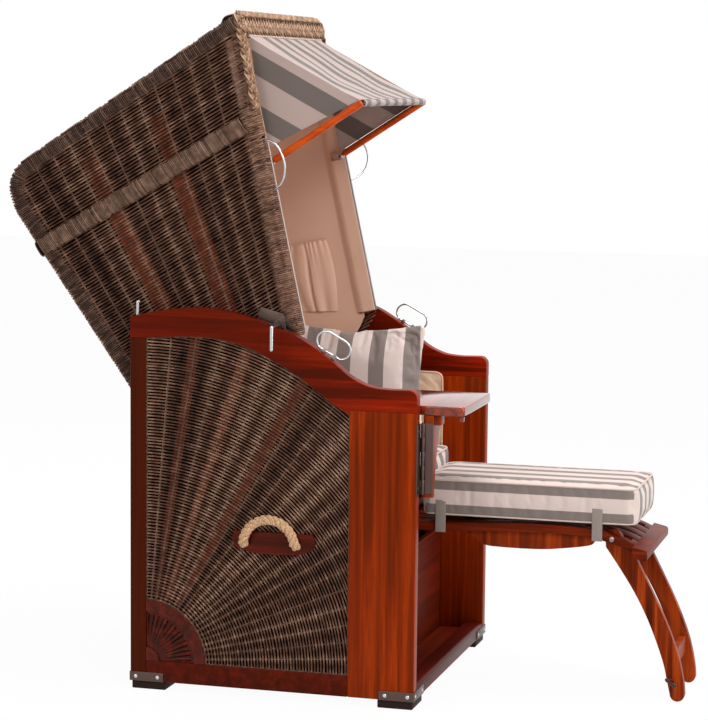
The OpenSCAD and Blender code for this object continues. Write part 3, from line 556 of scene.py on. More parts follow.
def strandMaterial(name, tones):
    # woven strands: each one its own tone, with patches along it and painted shade in the
    # hollows
    m, tree, shader = newMaterial(name)
    place = objectPlace(tree)
    patch = noiseNode(tree, place, strandLook["patchScale"], strandLook["patchDetail"])
    total = mathNode(tree, "ADD", mathNode(tree, "MULTIPLY", patch, strandLook["patch"]),
                     mathNode(tree, "MULTIPLY", ownMeasure(tree, "strandTone"),
                              strandLook["own"]))
    colours = [linear(*c) for c in tones]
    colour = rampNode(tree, total, list(zip(strandLook["stops"], colours)))
    # painted shade: the hollows between strands are darkened
    hollowShade = paintedLight(tree, strandLook["paintedLight"])["HollowShade"]
    fine = noiseNode(tree, place, strandLook["fineScale"])
    fill(tree, shader, {
        "Base Color": mixColour(tree, hollowShade, colour, colours[0]),
        "Roughness": strandLook["rough"], "Specular IOR Level": strandLook["specular"],
        "Specular Tint": strandLook["tint"],
        "Normal": bumped(tree, fine, strandLook["bump"], strandLook["bumpDepth"])})
    return m


strand = {name: strandMaterial(name + "Strand", tones) for name, tones in strandTones.items()}


def woven(piece, body, kind, seed, spread=0.15, ribs=None, replaced=()):
    # one tone for every separate strand of the mesh; ribs adds a tone by place
    rng = random.Random(seed)
    data = piece.data
    parent = list(range(len(data.vertices)))

    def root(i):
        while parent[i] != i:
            parent[i] = parent[parent[i]]
            i = parent[i]
        return i
    for e in data.edges:
        a, b = root(e.vertices[0]), root(e.vertices[1])
        if a != b:
            parent[a] = b
    tone = {}
    values = np.zeros(len(data.vertices), np.float32)
    for i, vertex in enumerate(data.vertices):
        r = root(i)
        if r not in tone:
            tone[r] = min(0.95, max(0.05, rng.gauss(0.5, spread)))
        values[i] = tone[r] + (ribs(vertex.co) if ribs else 0)
    data.attributes.new("strandTone", "FLOAT", "POINT").data.foreach_set("value", values)
    return placeIn(piece, body, strand[kind], "wicker", *replaced)


plainLook = {"detail": 5, "spread": 0.5, "dirtAndShade": 0.78, "paintedLight": 0.6, "roughSpread": 0.18,
             "roughLess": 0.08, "bumpDepth": 0.0005}


def plainMaterial(name, colour, rough, metal, scale, bump, specular=0.5):
    m, tree, shader = newMaterial(name)
    noise = noiseNode(tree, objectPlace(tree), scale, plainLook["detail"])
    # a darker tone: in noise patches it is dirt, and in the hollows it is painted shade
    dirtAndShadeTone = linear(*[c * plainLook["dirtAndShade"] for c in colour])
    tint = mixColour(tree, mathNode(tree, "MULTIPLY", noise, plainLook["spread"]),
                     linear(*colour), dirtAndShadeTone)
    fill(tree, shader, {
        "Base Color": mixColour(tree, paintedLight(tree, plainLook["paintedLight"])["HollowShade"], tint, dirtAndShadeTone),
        "Roughness": mathNode(tree, "MULTIPLY_ADD", noise, plainLook["roughSpread"],
                              rough - plainLook["roughLess"]),
        "Metallic": metal, "Specular IOR Level": specular,
        "Normal": bumped(tree, noise, bump, plainLook["bumpDepth"])})
    return m


steelMaterial = plainMaterial("satinSteel", (150, 138, 132), 0.30, 1.0, 220, 0.03)
chromeMaterial = plainMaterial("brightWire", (206, 204, 204), 0.16, 1.0, 120, 0.02)
darkMetal = plainMaterial("darkPlate", (78, 64, 58), 0.34, 1.0, 180, 0.06)
shoeMetal = plainMaterial("shoeSteel", (96, 78, 72), 0.36, 1.0, 200, 0.05)
footMaterial = plainMaterial("darkFoot", (42, 26, 21), 0.6, 0.0, 90, 0.15, 0.12)
# a near-black stand-in for the shade behind weaves and wrappings: painted shade
shadowCoreMaterial = plainMaterial("shadowCore", (26, 16, 12), 0.95, 0.0, 60, 0.1, 0.05)

clothLook = {"thread": 2500.0, "stripeEdge": (0.218, 0.232), "cloudScale": 9, "cloudDetail": 6,
             "fibreScale": 700, "fibreMix": 0.30, "fibreTone": (0.62, 0.60, 0.58, 1),
             "paintedLight": 0.35, "hollowShadeTone": (0.5, 0.46, 0.43, 1), "weave": 0.3, "fibre": 0.5,
             "cloud": 1.4, "bump": 0.35, "bumpDepth": 0.0012, "rough": 0.88, "sheen": 0.25,
             "sheenRough": 0.5}


def clothMaterial(name, pale, dark=None, period=None, shift=0.0, axis=None):
    # plain or striped cloth; stripes run across one axis or the piece's own measure
    look = clothLook
    m, tree, shader = newMaterial(name)

    def times(a, b):
        return mathNode(tree, "MULTIPLY", a, b)
    place = objectPlace(tree)
    parts = addNode(tree, "SeparateXYZ", {0: place}).outputs
    base = linear(*pale)
    if dark:
        measure = ownMeasure(tree, "stripePlace") if axis is None else parts[axis]
        moved = mathNode(tree, "ADD", measure, 40 * period + shift)
        phase = mathNode(tree, "FRACT", mathNode(tree, "DIVIDE", moved, period))
        wave = mathNode(tree, "ABSOLUTE", mathNode(tree, "SUBTRACT", phase, 0.5))
        stripe = rampNode(tree, wave, list(zip(look["stripeEdge"], (white, black))))
        base = mixColour(tree, stripe, base, linear(*dark))
    threads = [mathNode(tree, "SINE", times(part, look["thread"])) for part in parts]
    weave = times(times(threads[0], threads[1]), threads[2])
    cloud = noiseNode(tree, place, look["cloudScale"], look["cloudDetail"])
    fibre = noiseNode(tree, place, look["fibreScale"])
    shade = mixColour(tree, times(fibre, look["fibreMix"]), base,
                      mixColour(tree, 1.0, base, look["fibreTone"], "MULTIPLY"))
    # painted shade: creases and hollows of the cloth are darkened
    painted = mixColour(tree, paintedLight(tree, look["paintedLight"])["HollowShade"], shade,
                     mixColour(tree, 1.0, base, look["hollowShadeTone"], "MULTIPLY"))
    height = mathNode(tree, "ADD", times(weave, look["weave"]),
                      mathNode(tree, "ADD", times(fibre, look["fibre"]),
                               times(cloud, look["cloud"])))
    fill(tree, shader, {
        "Base Color": painted, "Roughness": look["rough"], "Sheen Weight": look["sheen"],
        "Sheen Roughness": look["sheenRough"],
        "Normal": bumped(tree, height, look["bump"], look["bumpDepth"])})
    return m


# the awning and gusset are the cushions' striped cloth in darker copies: painted shade
awningCloth = clothMaterial("awningStripes", (160, 141, 134), (86, 75, 70), 0.082, 0.009)
gussetCloth = clothMaterial("gussetStripes", (176, 154, 146), (104, 92, 86), 0.104, 0.0066)
cushionCloth = clothMaterial("cushionStripes", (212, 193, 185), (124, 111, 105), 0.0636)
pillowCloth = clothMaterial("pillowStripes", (226, 209, 202), (136, 124, 118), 0.0865, 0.0853, 1)
liningCloth = clothMaterial("liningCloth", (238, 194, 168))
padCloth = clothMaterial("padCloth", (224, 188, 158))
padPiping = clothMaterial("padPiping", (216, 172, 142))
pipingCloth = clothMaterial("pipingCloth", (206, 184, 172))
strapCloth = clothMaterial("strapCloth", (140, 128, 120))

sisal = {"scale": 380, "detail": 4, "stops": (0.3, 0.5, 0.75),
         "tones": ((132, 92, 60), (196, 152, 112), (232, 196, 156)), "hollowShade": (110, 74, 50),
         "paintedLight": 0.9, "rough": 0.85, "sheen": 0.2, "bump": 0.6, "bumpDepth": 0.0012}


def ropeMaterial():
    m, tree, shader = newMaterial("sisalRope")
    fibre = noiseNode(tree, objectPlace(tree), sisal["scale"], sisal["detail"])
    colour = rampNode(tree, fibre, [(at, linear(*tone)) for at, tone
                                    in zip(sisal["stops"], sisal["tones"])])
    fill(tree, shader, {
        # painted shade: the grooves between the strands are darkened
        "Base Color": mixColour(tree, paintedLight(tree, sisal["paintedLight"])["HollowShade"], colour,
                                linear(*sisal["hollowShade"])),
        "Roughness": sisal["rough"], "Sheen Weight": sisal["sheen"],
        "Normal": bumped(tree, fibre, sisal["bump"], sisal["bumpDepth"])})
    return m


ropeCloth = ropeMaterial()
print("materials made")


strandShare = 0.27


def twisted(name, line, thick, lay, strands=3, sideSteps=3):
    # strands laid round a centre line in metres, each a share of the thickness; the section
    # axes are carried along the line
    pts = [Vector(p) for p in line]
    tangents = [(pts[min(i + 1, len(pts) - 1)] - pts[max(i - 1, 0)]).normalized()
                for i in range(len(pts))]
    first = tangents[0].orthogonal().normalized()
    paths = [[] for _ in range(strands)]
    radius = thick * strandShare
    travelled = 0.0
    for i, p in enumerate(pts):
        if i:
            travelled += (p - pts[i - 1]).length
            first = (first - tangents[i] * first.dot(tangents[i])).normalized()
        second = tangents[i].cross(first)
        for k in range(strands):
            t = math.tau * (travelled / lay + k / strands)
            paths[k].append(p + (first * math.cos(t) + second * math.sin(t)) * radius)
    return strandPiece(name, paths, radius, sideSteps)


ribLook = {"tone": 0.15, "shift": 0.25, "depth": (0.5, 1.0), "swing": 0.30, "move": 0.12,
           "less": 0.04}


def ribTones(seed, columns):
    # paler just beside each stake, redder and darker between, each column a little different
    rng = random.Random(seed)
    table = [(rng.gauss(0, ribLook["tone"]), rng.uniform(-ribLook["shift"], ribLook["shift"]),
              rng.uniform(*ribLook["depth"])) for _ in range(columns + 2)]

    def tone(c):
        k = min(columns, max(0, int(c)))
        base, shift, depth = table[k]
        after = table[k + 1][0]
        f = c - k
        wave = math.cos(math.tau * (f + ribLook["move"] * shift))
        return base + (after - base) * f * f * (3 - 2 * f) \
            + ribLook["swing"] * depth * wave - ribLook["less"]
    return tone


def weaveRows(rows, amplitude, place):
    # rows: lists of (u, v, stake number or None); place puts u, v and a height in space
    paths = []
    for number, row in enumerate(rows):
        path = []
        for u, v, stake in row:
            lift = 0.0
            if stake is not None:
                lift = amplitude if (stake + number) % 2 else -amplitude
            path.append(place(u, v, lift))
        if len(path) > 1:
            paths.append(path)
    return paths


stakeWave = {"out": 0.5, "swing": 0.9, "turn": 1.7}


def stakeLift(i):
    # how a stake wanders in and out between the weavers
    return stakeWave["out"] + stakeWave["swing"] * math.sin(i * stakeWave["turn"])


def nextRow(pitch, rng, uneven=0.05):
    return pitch * (1 + uneven * rng.gauss(0, 1))


# side panels, woven as a sunburst from the carved corner
panel = {
    "centre": (660.0, 71.0), "first": 150.0, "last": 900.0, "corner": 148.0, "pitch": 7.35,
    "rayStep": 4.5, "strand": 0.00215, "lift": 1.15, "faceX": 6.8, "sway": 0.3,
    "stake": 0.0009, "stakeGap": 1.3, "stakeStep": 8.0, "slats": (81.2, 71.9, 60.6),
    "slatWidth": 27.0, "slatNarrow": 0.55, "slatFrom": 6, "slatStep": 5,
    "slatLifts": (-2.4, -1.5),
    "slatFaces": [(4, 5, 7, 6), (0, 2, 3, 1), (0, 1, 5, 4), (2, 6, 7, 3), (0, 4, 6, 2),
                  (1, 3, 7, 5)],
    "borderStep": 4.0, "borderTurn": 1.25, "borderWide": 1.2, "borderOut": 1.6,
    "borderDeep": 1.5, "border": 0.0019, "core": (13.0, 19.5),
}
underLine = spline([(160, 686), (207, 714), (280, 767), (340, 801), (402, 830), (465, 847),
                    (525, 853), (600, 851), (660, 846)])
rayCount = int(90 / panel["rayStep"])


def polar(r, a):
    t = math.radians(a)
    return (panel["centre"][0] - r * math.cos(t), panel["centre"][1] + r * math.sin(t))


cornerArc = [polar(panel["corner"], a) for a in np.linspace(90, 0, 17)]
openingOutline = [(160, 71)] + underLine + cornerArc


def panelPoint(side, y, z, lift):
    return spot(sideX(side, panel["faceX"] - lift), y, z)


def makePanelWeave(side):
    rows = []
    rng = random.Random(8)
    r = panel["first"]
    steps = rayCount * 2
    while r < panel["last"]:
        line = [polar(r, min(89.9, max(0.1, 90.0 * k / steps)))
                + (k // 2 if k % 2 == 0 else None,) for k in range(steps + 1)]
        rows += clippedRuns(line, openingOutline)
        r += nextRow(panel["pitch"], rng)
    paths = weaveRows(rows, panel["lift"],
                      lambda y, z, h: panelPoint(side, y, z + h * panel["sway"], h))
    ribs = ribTones(41, rayCount)

    def ribAt(co):
        y, z = co.y * 1000 + chair["midY"], co.z * 1000
        a = math.degrees(math.atan2(z - panel["centre"][1], panel["centre"][0] - y))
        return ribs(a / panel["rayStep"])
    woven(strandPiece(side + "PanelWeave", paths, panel["strand"]), "base", "woven", seed=3,
          spread=0.045, ribs=ribAt)


def makePanelStakes(side):
    # two thin stakes on each ray
    rays = []
    for k in range(1, rayCount):
        a = k * panel["rayStep"]
        t = math.radians(a)
        line = [polar(q, a) + (None,)
                for q in np.arange(panel["first"], panel["last"], panel["stakeStep"])]
        runs = clippedRuns(line, openingOutline)
        for off in (-panel["stakeGap"], panel["stakeGap"]):
            for run in runs:
                rays.append([panelPoint(side, y + off * math.sin(t), z + off * math.cos(t),
                                        stakeLift(i)) for i, (y, z, _) in enumerate(run)])
    woven(strandPiece(side + "PanelStakes", rays, panel["stake"]), "base", "stake", seed=4)


def makePanelSlats(side):
    slats = []
    for a in panel["slats"]:
        t = math.radians(a)
        near = far = polar(panel["first"] + panel["slatFrom"], a)
        for q in np.arange(panel["first"], panel["last"], panel["slatStep"]):
            if insideOutline(*polar(q, a), openingOutline):
                far = polar(q, a)
        corners = []
        for (y, z), share in ((near, panel["slatNarrow"]), (far, 1.0)):
            for half in (-panel["slatWidth"] / 2 * share, panel["slatWidth"] / 2 * share):
                corners.append((y + half * math.sin(t), z + half * math.cos(t)))
        pts = [panelPoint(side, y, z, lift) for lift in panel["slatLifts"] for y, z in corners]
        slats.append(meshPiece("slat", pts, panel["slatFaces"]))
    back = joined(side + "PanelSlats", slats)
    fixNormals(back)
    placeIn(back, "base", slatWood, "wood")


def makePanelBorder(side):
    # a fine twisted border round the opening
    border = evenly(upright(openingOutline + openingOutline[:1]), panel["borderStep"])
    twists = []
    for phase in (0, math.pi):
        line = []
        for i, p in enumerate(border):
            t = i * panel["borderTurn"] + phase
            wide = panel["borderWide"] * math.sin(t)
            line.append(panelPoint(side, p.y + wide, p.z + wide,
                                   panel["borderOut"] + panel["borderDeep"] * math.cos(t)))
        twists.append(line)
    woven(strandPiece(side + "PanelBorder", twists, panel["border"], 1), "base", "stake",
          seed=5)


def makePanelCore(side):
    # painted shade: a dark sheet behind the panel weave
    core = slab(side + "PanelCore", openingOutline, *panel["core"],
                lambda x, y, z: spot(sideX(side, x), y, z))
    fixNormals(core)
    return placeIn(core, "base", shadowCoreMaterial, "wicker")


for side in sides:
    makePanelWeave(side)
    makePanelStakes(side)
    makePanelSlats(side)
    makePanelBorder(side)
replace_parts(makePanelCore("right"), "wicker_panels")
makePanelCore("left")
print("side panels woven")

# hood: woven walls, wrapped edges, braids
hood = {
    "foot": (400.0, 790.0), "low": (307.0, 840.0), "top": (35.0, 1551.0), "roofZ": 1553.0,
    "pitch": 7.4, "strand": 0.00215, "lift": 1.15, "sway": 0.4, "stakes": 14, "wallX": 42.5,
    "frontGap": 11, "rowFrom": 12, "rowPast": 8, "stake": 0.0009, "stakeGap": 1.3,
    "stakeStep": 8.0, "stakeLow": 6, "stakeTop": 8,
    "rise": 28.0 / 600, "riseFrom": 160, "riseLess": 12,
}
edgeDir = Vector((hood["top"][0] - hood["low"][0], hood["top"][1] - hood["low"][1])).normalized()
edgeOut = Vector((-edgeDir.y, edgeDir.x))
edgeLength = math.dist(hood["low"], hood["top"])
across = hoodWay(1, 0, 0)
outward = hoodWay(0, edgeOut.x, edgeOut.y)
upEdge = hoodWay(0, edgeDir.x, edgeDir.y)


def edgePoint(t, out=0.0):
    # a place along the front edge, moved out of the hood
    p = Vector(hood["low"]) + edgeDir * (edgeLength * t) + edgeOut * out
    return p.x, p.y


rearCorner = spline([(640, 1553), (693, 1551), (725, 1538), (748, 1512), (761, 1470),
                     (762, 1430)])
hoodBack = [(757, 1300), (750, 1100), (745, 961), (745, 790)]
hoodOutline = [hood["foot"], hood["low"], (33, 1553)] + rearCorner + hoodBack


def roofLine(y, low=hoodBack[-1][1]):
    # the side line of the roof from y, the rear corner and the back
    return [(y, hood["roofZ"])] + rearCorner + hoodBack[:-1] + [(hoodBack[-1][0], low)]


def backAt(z):
    line = [rearCorner[-1]] + hoodBack
    for (y0, z0), (y1, z1) in zip(line, line[1:]):
        if z1 <= z < z0:
            return y0 + (y1 - y0) * (z0 - z) / (z0 - z1)
    return line[0][0] if z >= line[0][1] else line[-1][0]


def frontAt(z):
    (footY, footZ), (lowY, lowZ) = hood["foot"], hood["low"]
    if z < lowZ:
        return lowY + (lowZ - z) * (footY - lowY) / (lowZ - footZ)
    return lowY + (z - lowZ) * edgeDir.x / edgeDir.y


def risen(y):
    # the rows of the side walls climb a little to the back
    return (y - hood["riseFrom"]) * hood["rise"] - hood["riseLess"]


def hoodAt(side, y, z, lift):
    return hoodSpot(sideX(side, hood["wallX"] - lift), y, z)


def makeHoodSide(side):
    rows = []
    rng = random.Random(18)
    z = hood["foot"][1] - hood["rowFrom"]
    count = hood["stakes"]
    while z < hood["roofZ"] + hood["rowPast"]:
        front, back = frontAt(z), backAt(z)
        line = []
        for k in range(count * 2 + 1):
            y = front + (back - front) * k / (count * 2) + (0 if k else hood["frontGap"])
            line.append((y, z + risen(y), k // 2 if k and k % 2 == 0 else None))
        rows += clippedRuns(line, hoodOutline)
        z += nextRow(hood["pitch"], rng)
    paths = weaveRows(rows, hood["lift"],
                      lambda y, z, h: hoodAt(side, y, z + h * hood["sway"], h))
    ribs = ribTones(43, count)

    def ribAt(co):
        y, z = uprightPlace(co)
        front, back = frontAt(z), backAt(z)
        return ribs((y - front) / (back - front) * count)
    woven(strandPiece(side + "HoodWeave", paths, hood["strand"]), "hood", "woven", seed=11,
          spread=0.06, ribs=ribAt, replaced=[side + "_hood_side"])
    rays = []
    for k in range(1, count):
        for off in (-hood["stakeGap"], hood["stakeGap"]):
            line = []
            for z in np.arange(hood["foot"][1] + hood["stakeLow"],
                               hood["roofZ"] - hood["stakeTop"], hood["stakeStep"]):
                y = frontAt(z) + (backAt(z) - frontAt(z)) * k / count + off
                if insideOutline(y, z, hoodOutline):
                    line.append(hoodAt(side, y, z, stakeLift(len(line))))
            if len(line) > 2:
                rays.append(line)
    woven(strandPiece(side + "HoodStakes", rays, hood["stake"]), "hood", "stake", seed=12)


def profileFrames(line, step):
    # points along a side line of the hood with the outward direction at each
    pts = evenly(upright(line), step)
    out = []
    for i, p in enumerate(pts):
        a, b = pts[max(i - 1, 0)], pts[min(i + 1, len(pts) - 1)]
        d = (b - a).normalized()
        out.append((p.y, p.z, -d.z, d.y))
    return out


def framePoint(x, place, out):
    # a point off the side line: out is the distance outward
    y, z, ny, nz = place
    return hoodSpot(x, y + ny * out, z + nz * out)


roof = {"from": 70, "x": 46, "wide": 666, "stakes": 17, "under": 1.3, "lift": 1.5,
        "strand": 0.0024, "stake": 0.0011, "stakeGap": 1.8, "stakeRise": 0.4}


def makeHoodRoof():
    # weavers run across the hood, row by row along the roof and down the back
    frames = profileFrames(roofLine(roof["from"]), hood["pitch"])
    count = roof["stakes"]
    rows = [[(roof["x"] + roof["wide"] * k / (count * 2), place, k // 2 if k % 2 == 0 else None)
             for k in range(count * 2 + 1)] for place in frames]

    def at(x, place, lift):
        return framePoint(x, place, lift - roof["under"])
    woven(strandPiece("roofWeave", weaveRows(rows, roof["lift"], at), roof["strand"]), "hood",
          "woven", seed=13)
    rays = [[at(roof["x"] + roof["wide"] * k / count + off, place,
                roof["stakeRise"] + stakeLift(i)) for i, place in enumerate(frames)]
            for k in range(1, count) for off in (-roof["stakeGap"], roof["stakeGap"])]
    woven(strandPiece("roofStakes", rays, roof["stake"]), "hood", "stake", seed=14)


def section(shape, t):
    # a point of the wrapped section at turn t: half sizes a and b, and how square it is
    a, b, square = shape
    c, s = math.cos(t), math.sin(t)
    e = 2 / square
    return a * abs(c) ** e * (1 if c >= 0 else -1), b * abs(s) ** e * (1 if s >= 0 else -1)


def walk(path):
    # the length in metres of a path of (centre, direction A, direction B), and its place
    # at any length
    cuts = [0.0]
    for a, b in zip(path, path[1:]):
        cuts.append(cuts[-1] + (b[0] - a[0]).length)

    def at(want):
        want = min(cuts[-1], max(0, want))
        i = min(len(cuts) - 2, int(np.searchsorted(cuts, want, side="right")) - 1)
        f = (want - cuts[i]) / max(1e-9, cuts[i + 1] - cuts[i])
        return [path[i][k].lerp(path[i + 1][k], f) for k in range(3)]
    return cuts[-1], at


# all in mm; shape: half sizes of the section and how square it is; collar: every so far a
# thicker stretch, its length and how much thicker
wrapping = {"collar": None, "points": 14, "slant": 0.25, "uneven": 0.18, "coreIn": 0.6}
rollWrap = {**wrapping, "shape": (14.8, 22.8, 2.6), "pitch": 4.7, "strand": 2.3}
rimWrap = {**rollWrap, "shape": (15.8, 19.5, 2.4), "collar": (66.0, 36.0, 1.8)}
collarWrap = {**wrapping, "shape": (13.6, 23.6, 2.4), "pitch": 5.0, "strand": 2.3,
              "collar": (34.0, 16.0, 0.7), "slant": 0.6}
cornerWrap = {**wrapping, "shape": (11.0, 14.0, 2.4), "pitch": 5.0, "strand": 2.2}
barWrap = {**wrapping, "shape": (22.0, 24.0, 2.9), "pitch": 5.6, "strand": 2.6, "points": 18,
           "slant": 0.9}
bandWrap = {**wrapping, "shape": (4.5, 18.0, 3.2), "pitch": 4.2, "strand": 2.2,
            "collar": (36.0, 27.0, 1.5), "points": 12}


def coreAlong(name, path, shape, points):
    # painted shade: a dark core inside a wrapping, a little thinner, that shows through its gaps
    a, b, square = shape
    ring = [section((a - wrapping["coreIn"], b - wrapping["coreIn"], square),
                    math.tau * k / points) for k in range(points)]
    pts = [centre + da * a / 1000 + db * b / 1000 for centre, da, db in path for a, b in ring]
    faces = [(i * points + k, i * points + (k + 1) % points, (i + 1) * points + (k + 1) % points,
              (i + 1) * points + k) for i in range(len(path) - 1) for k in range(points)]
    faces.append(tuple(range(points)))
    faces.append(tuple((len(path) - 1) * points + k for k in reversed(range(points))))
    core = meshPiece(name, pts, faces)
    fixNormals(core)
    smooth(core, "core")
    placeIn(core, "hood", shadowCoreMaterial, "wicker")


def wrapped(name, path, look, kind, seed):
    # rings of strand laid round a path
    length, atLength = walk(path)
    rng = random.Random(seed)
    pitch, collar, points = look["pitch"], look["collar"], look["points"]
    rings = []
    for n in range(int(length * 1000 / pitch)):
        base = (n + 0.5) * pitch
        grow = collar[2] if collar and base % collar[0] < collar[1] else 0.0
        grow += rng.gauss(0, look["uneven"])
        ring = []
        for k in range(points):
            t = math.tau * k / points
            centre, da, db = atLength((base + look["slant"] * pitch * math.sin(t)) / 1000)
            a, b = section(look["shape"], t)
            ring.append(centre + da * (a + grow * math.cos(t)) / 1000
                        + db * (b + grow * math.sin(t)) / 1000)
        rings.append(ring)
    piece = strandPiece(name, rings, look["strand"] / 1000, closed=True)
    woven(piece, "hood", kind, seed)
    coreAlong(name + "Core", path, look["shape"], points)
    return piece


plaiting = {"radius": 1.7, "steps": 18, "tones": 0.28}
frontPlait = {**plaiting, "swing": 6.6, "period": 46.0, "rise": 2.8, "spread": 1.9, "lines": 4}
barPlait = {**plaiting, "swing": 11.5, "period": 62.0, "rise": 3.2, "spread": 2.0, "lines": 6}


def plait(name, path, look, kind, seed):
    # a flat braid of three leads, each of a few strands side by side
    length, atLength = walk(path)
    total = length * 1000
    swing, period, lines = look["swing"], look["period"], look["lines"]

    def at(s, u, h):
        centre, da, db = atLength(s / 1000)
        return centre + da * u / 1000 + db * h / 1000
    paths = []
    steps = int(total / period * look["steps"])
    for lead in range(3):
        for j in range(lines):
            off = (j - (lines - 1) / 2) * look["radius"] * look["spread"]
            line = []
            for k in range(steps + 1):
                s = total * k / steps
                t = math.tau * (s / period + lead / 3)
                du = swing * math.tau / period * math.cos(t)
                size = math.hypot(1, du)
                line.append(at(s - off * du / size, swing * math.sin(t) + off / size,
                               look["rise"] * math.sin(2 * t)))
            paths.append(line)
    woven(strandPiece(name, paths, look["radius"] / 1000, 1), "hood", kind, seed,
          spread=look["tones"])


edge = {"x": 57.0, "in": -25.0, "steps": 60, "collarFrom": 0.615, "braidFrom": 0.715,
        "shortSteps": 12, "cornerTo": 0.985, "cornerIn": -18.0, "cornerX": 2, "rimFrom": 50,
        "rimLow": 800, "rimX": 56, "rimIn": 19, "rimStep": 9}


def makeHoodEdges(side):
    sign = sideSign(side)
    x = sideX(side, edge["x"])

    def along(t0, t1, count, px=x, out=edge["in"]):
        return [(hoodSpot(px, *edgePoint(t, out)), across * sign, outward)
                for t in np.linspace(t0, t1, count)]
    wrapped(side + "Roll", along(0.0, edge["collarFrom"], edge["steps"]), rollWrap, "wrap",
            seed=21)
    wrapped(side + "Collar", along(edge["collarFrom"], edge["braidFrom"], edge["shortSteps"]),
            collarWrap, "collar", seed=25)
    # the narrower core under the braid
    wrapped(side + "CornerWrap", along(edge["braidFrom"], edge["cornerTo"], edge["shortSteps"],
                                       x - edge["cornerX"] * sign, edge["cornerIn"]),
            cornerWrap, "wrap", seed=24)
    # the rim over the roof's side edge, the rear corner and down the back
    rim = [(framePoint(sideX(side, edge["rimX"]), place, -edge["rimIn"]), across,
            hoodWay(0, place[2], place[3]))
           for place in profileFrames(roofLine(edge["rimFrom"], edge["rimLow"]),
                                      edge["rimStep"])]
    wrapped(side + "Rim", rim, rimWrap, "rim", seed=22)


braid = {"x": 45.5, "in": 5.0, "corner": 16.0, "top": 2.5, "past": 8, "flat": 0.78,
         "turned": 0.62, "bends": 8, "upSteps": 24, "acrossSteps": 70, "barIn": 0.5,
         "barDown": 0.032, "barEnd": 2, "barSteps": 80}


def makeBraid():
    # one braid: up the right front edge, along the bar over the opening, down the left
    path = []
    x0, r, top = braid["x"], braid["corner"], braid["top"]
    low = edgeLength * (1 - edge["braidFrom"]) + braid["past"]
    far = chair["width"] - x0

    def add(x, down, turn):
        # turn: 0 going up, 1 going across, 2 going down
        a = math.radians(90 * turn)
        right = across * math.cos(a) - upEdge * math.sin(a)
        path.append((hoodSpot(x, *edgePoint(1.0, -braid["in"])) - upEdge * down / 1000,
                     (right * braid["flat"] + outward * braid["turned"]).normalized(),
                     (outward * braid["flat"] - right * braid["turned"]).normalized()))
    bends = [(k / braid["bends"], math.radians(90 * k / braid["bends"]))
             for k in range(1, braid["bends"])]
    for d in np.linspace(low, top + r, braid["upSteps"]):
        add(x0, d, 0)
    for turn, a in bends:
        add(x0 + r - r * math.cos(a), top + r - r * math.sin(a), turn)
    for x in np.linspace(x0 + r, far - r, braid["acrossSteps"]):
        add(x, top, 1)
    for turn, a in bends:
        add(far - r + r * math.sin(a), top + r - r * math.cos(a), 1 + turn)
    for d in np.linspace(top + r, low, braid["upSteps"]):
        add(far, d, 2)
    plait("frontBraid", path, frontPlait, "braid", seed=23)
    end = braid["barEnd"]
    wide = [(hoodSpot(x, *edgePoint(1.0, braid["barIn"])) - upEdge * braid["barDown"],
             upEdge * -1, outward) for x in np.linspace(x0 + end, far - end, braid["barSteps"])]
    plait("barBraid", wide, barPlait, "bar", seed=24)


coreSheet = {
    "from": 88, "step": 14, "depths": (3.6, 5.6), "x": (47, 711), "wallX": (59.0, 60.0),
    "wall": [(440, 800), (359, 842), (96, 1540), (636, 1540), (690, 1530), (738, 1490),
             (746, 1430), (742, 1300), (736, 1100), (732, 800)],
}


def makeHoodCore():
    # painted shade: dark sheets behind the weave, one along the roof and back, one in each side
    # wall
    frames = profileFrames(roofLine(coreSheet["from"]), coreSheet["step"])
    pts = [framePoint(x, place, -depth) for place in frames for depth in coreSheet["depths"]
           for x in coreSheet["x"]]
    faces = []
    for a in range(0, (len(frames) - 1) * 4, 4):
        b = a + 4
        faces += [(a, a + 1, b + 1, b), (a + 2, b + 2, b + 3, a + 3), (a, b, b + 2, a + 2),
                  (a + 1, a + 3, b + 3, b + 1)]
    faces += [(0, 2, 3, 1), (b, b + 1, b + 3, b + 2)]
    sheet = meshPiece("roofCore", pts, faces)
    fixNormals(sheet)
    smooth(sheet, "core")
    placeIn(sheet, "hood", shadowCoreMaterial, "wicker", "hood_shell")
    for side in sides:
        wall = slab(side + "HoodCore", coreSheet["wall"], *coreSheet["wallX"],
                    lambda x, y, z: hoodSpot(sideX(side, x), y, z))
        fixNormals(wall)
        placeIn(wall, "hood", shadowCoreMaterial, "wicker")


bar = {"x": (46, 712), "in": -25, "down": 0.025, "steps": 70, "rowX": (60, 698),
       "rowIn": -1.5, "rowDown": 0.050, "rowSteps": 90, "row": 0.0075, "rowLay": 0.022}


def makeFrontBar():
    # the bar over the opening: wrapped, with a thin twisted row along its lower edge
    path = [(hoodSpot(x, *edgePoint(1.0, bar["in"])) - upEdge * bar["down"], outward, upEdge)
            for x in np.linspace(*bar["x"], bar["steps"])]
    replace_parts(wrapped("frontBar", path, barWrap, "wrap", seed=31), "front_bar")
    row = [hoodSpot(x, *edgePoint(1.0, bar["rowIn"])) - upEdge * bar["rowDown"]
           for x in np.linspace(*bar["rowX"], bar["rowSteps"])]
    woven(twisted("barEdging", row, bar["row"], bar["rowLay"], strands=2, sideSteps=1), "hood",
          "bar", seed=33)


band = {"z": 1338, "x": 37.5, "frontZ": 1330, "frontGap": 46, "backZ": 1350, "backGap": 2,
        "steps": 60, "rearX": (42, 716), "rearZ": 1354, "rearOut": 0.5, "rearY": 758,
        "rearSteps": 70}


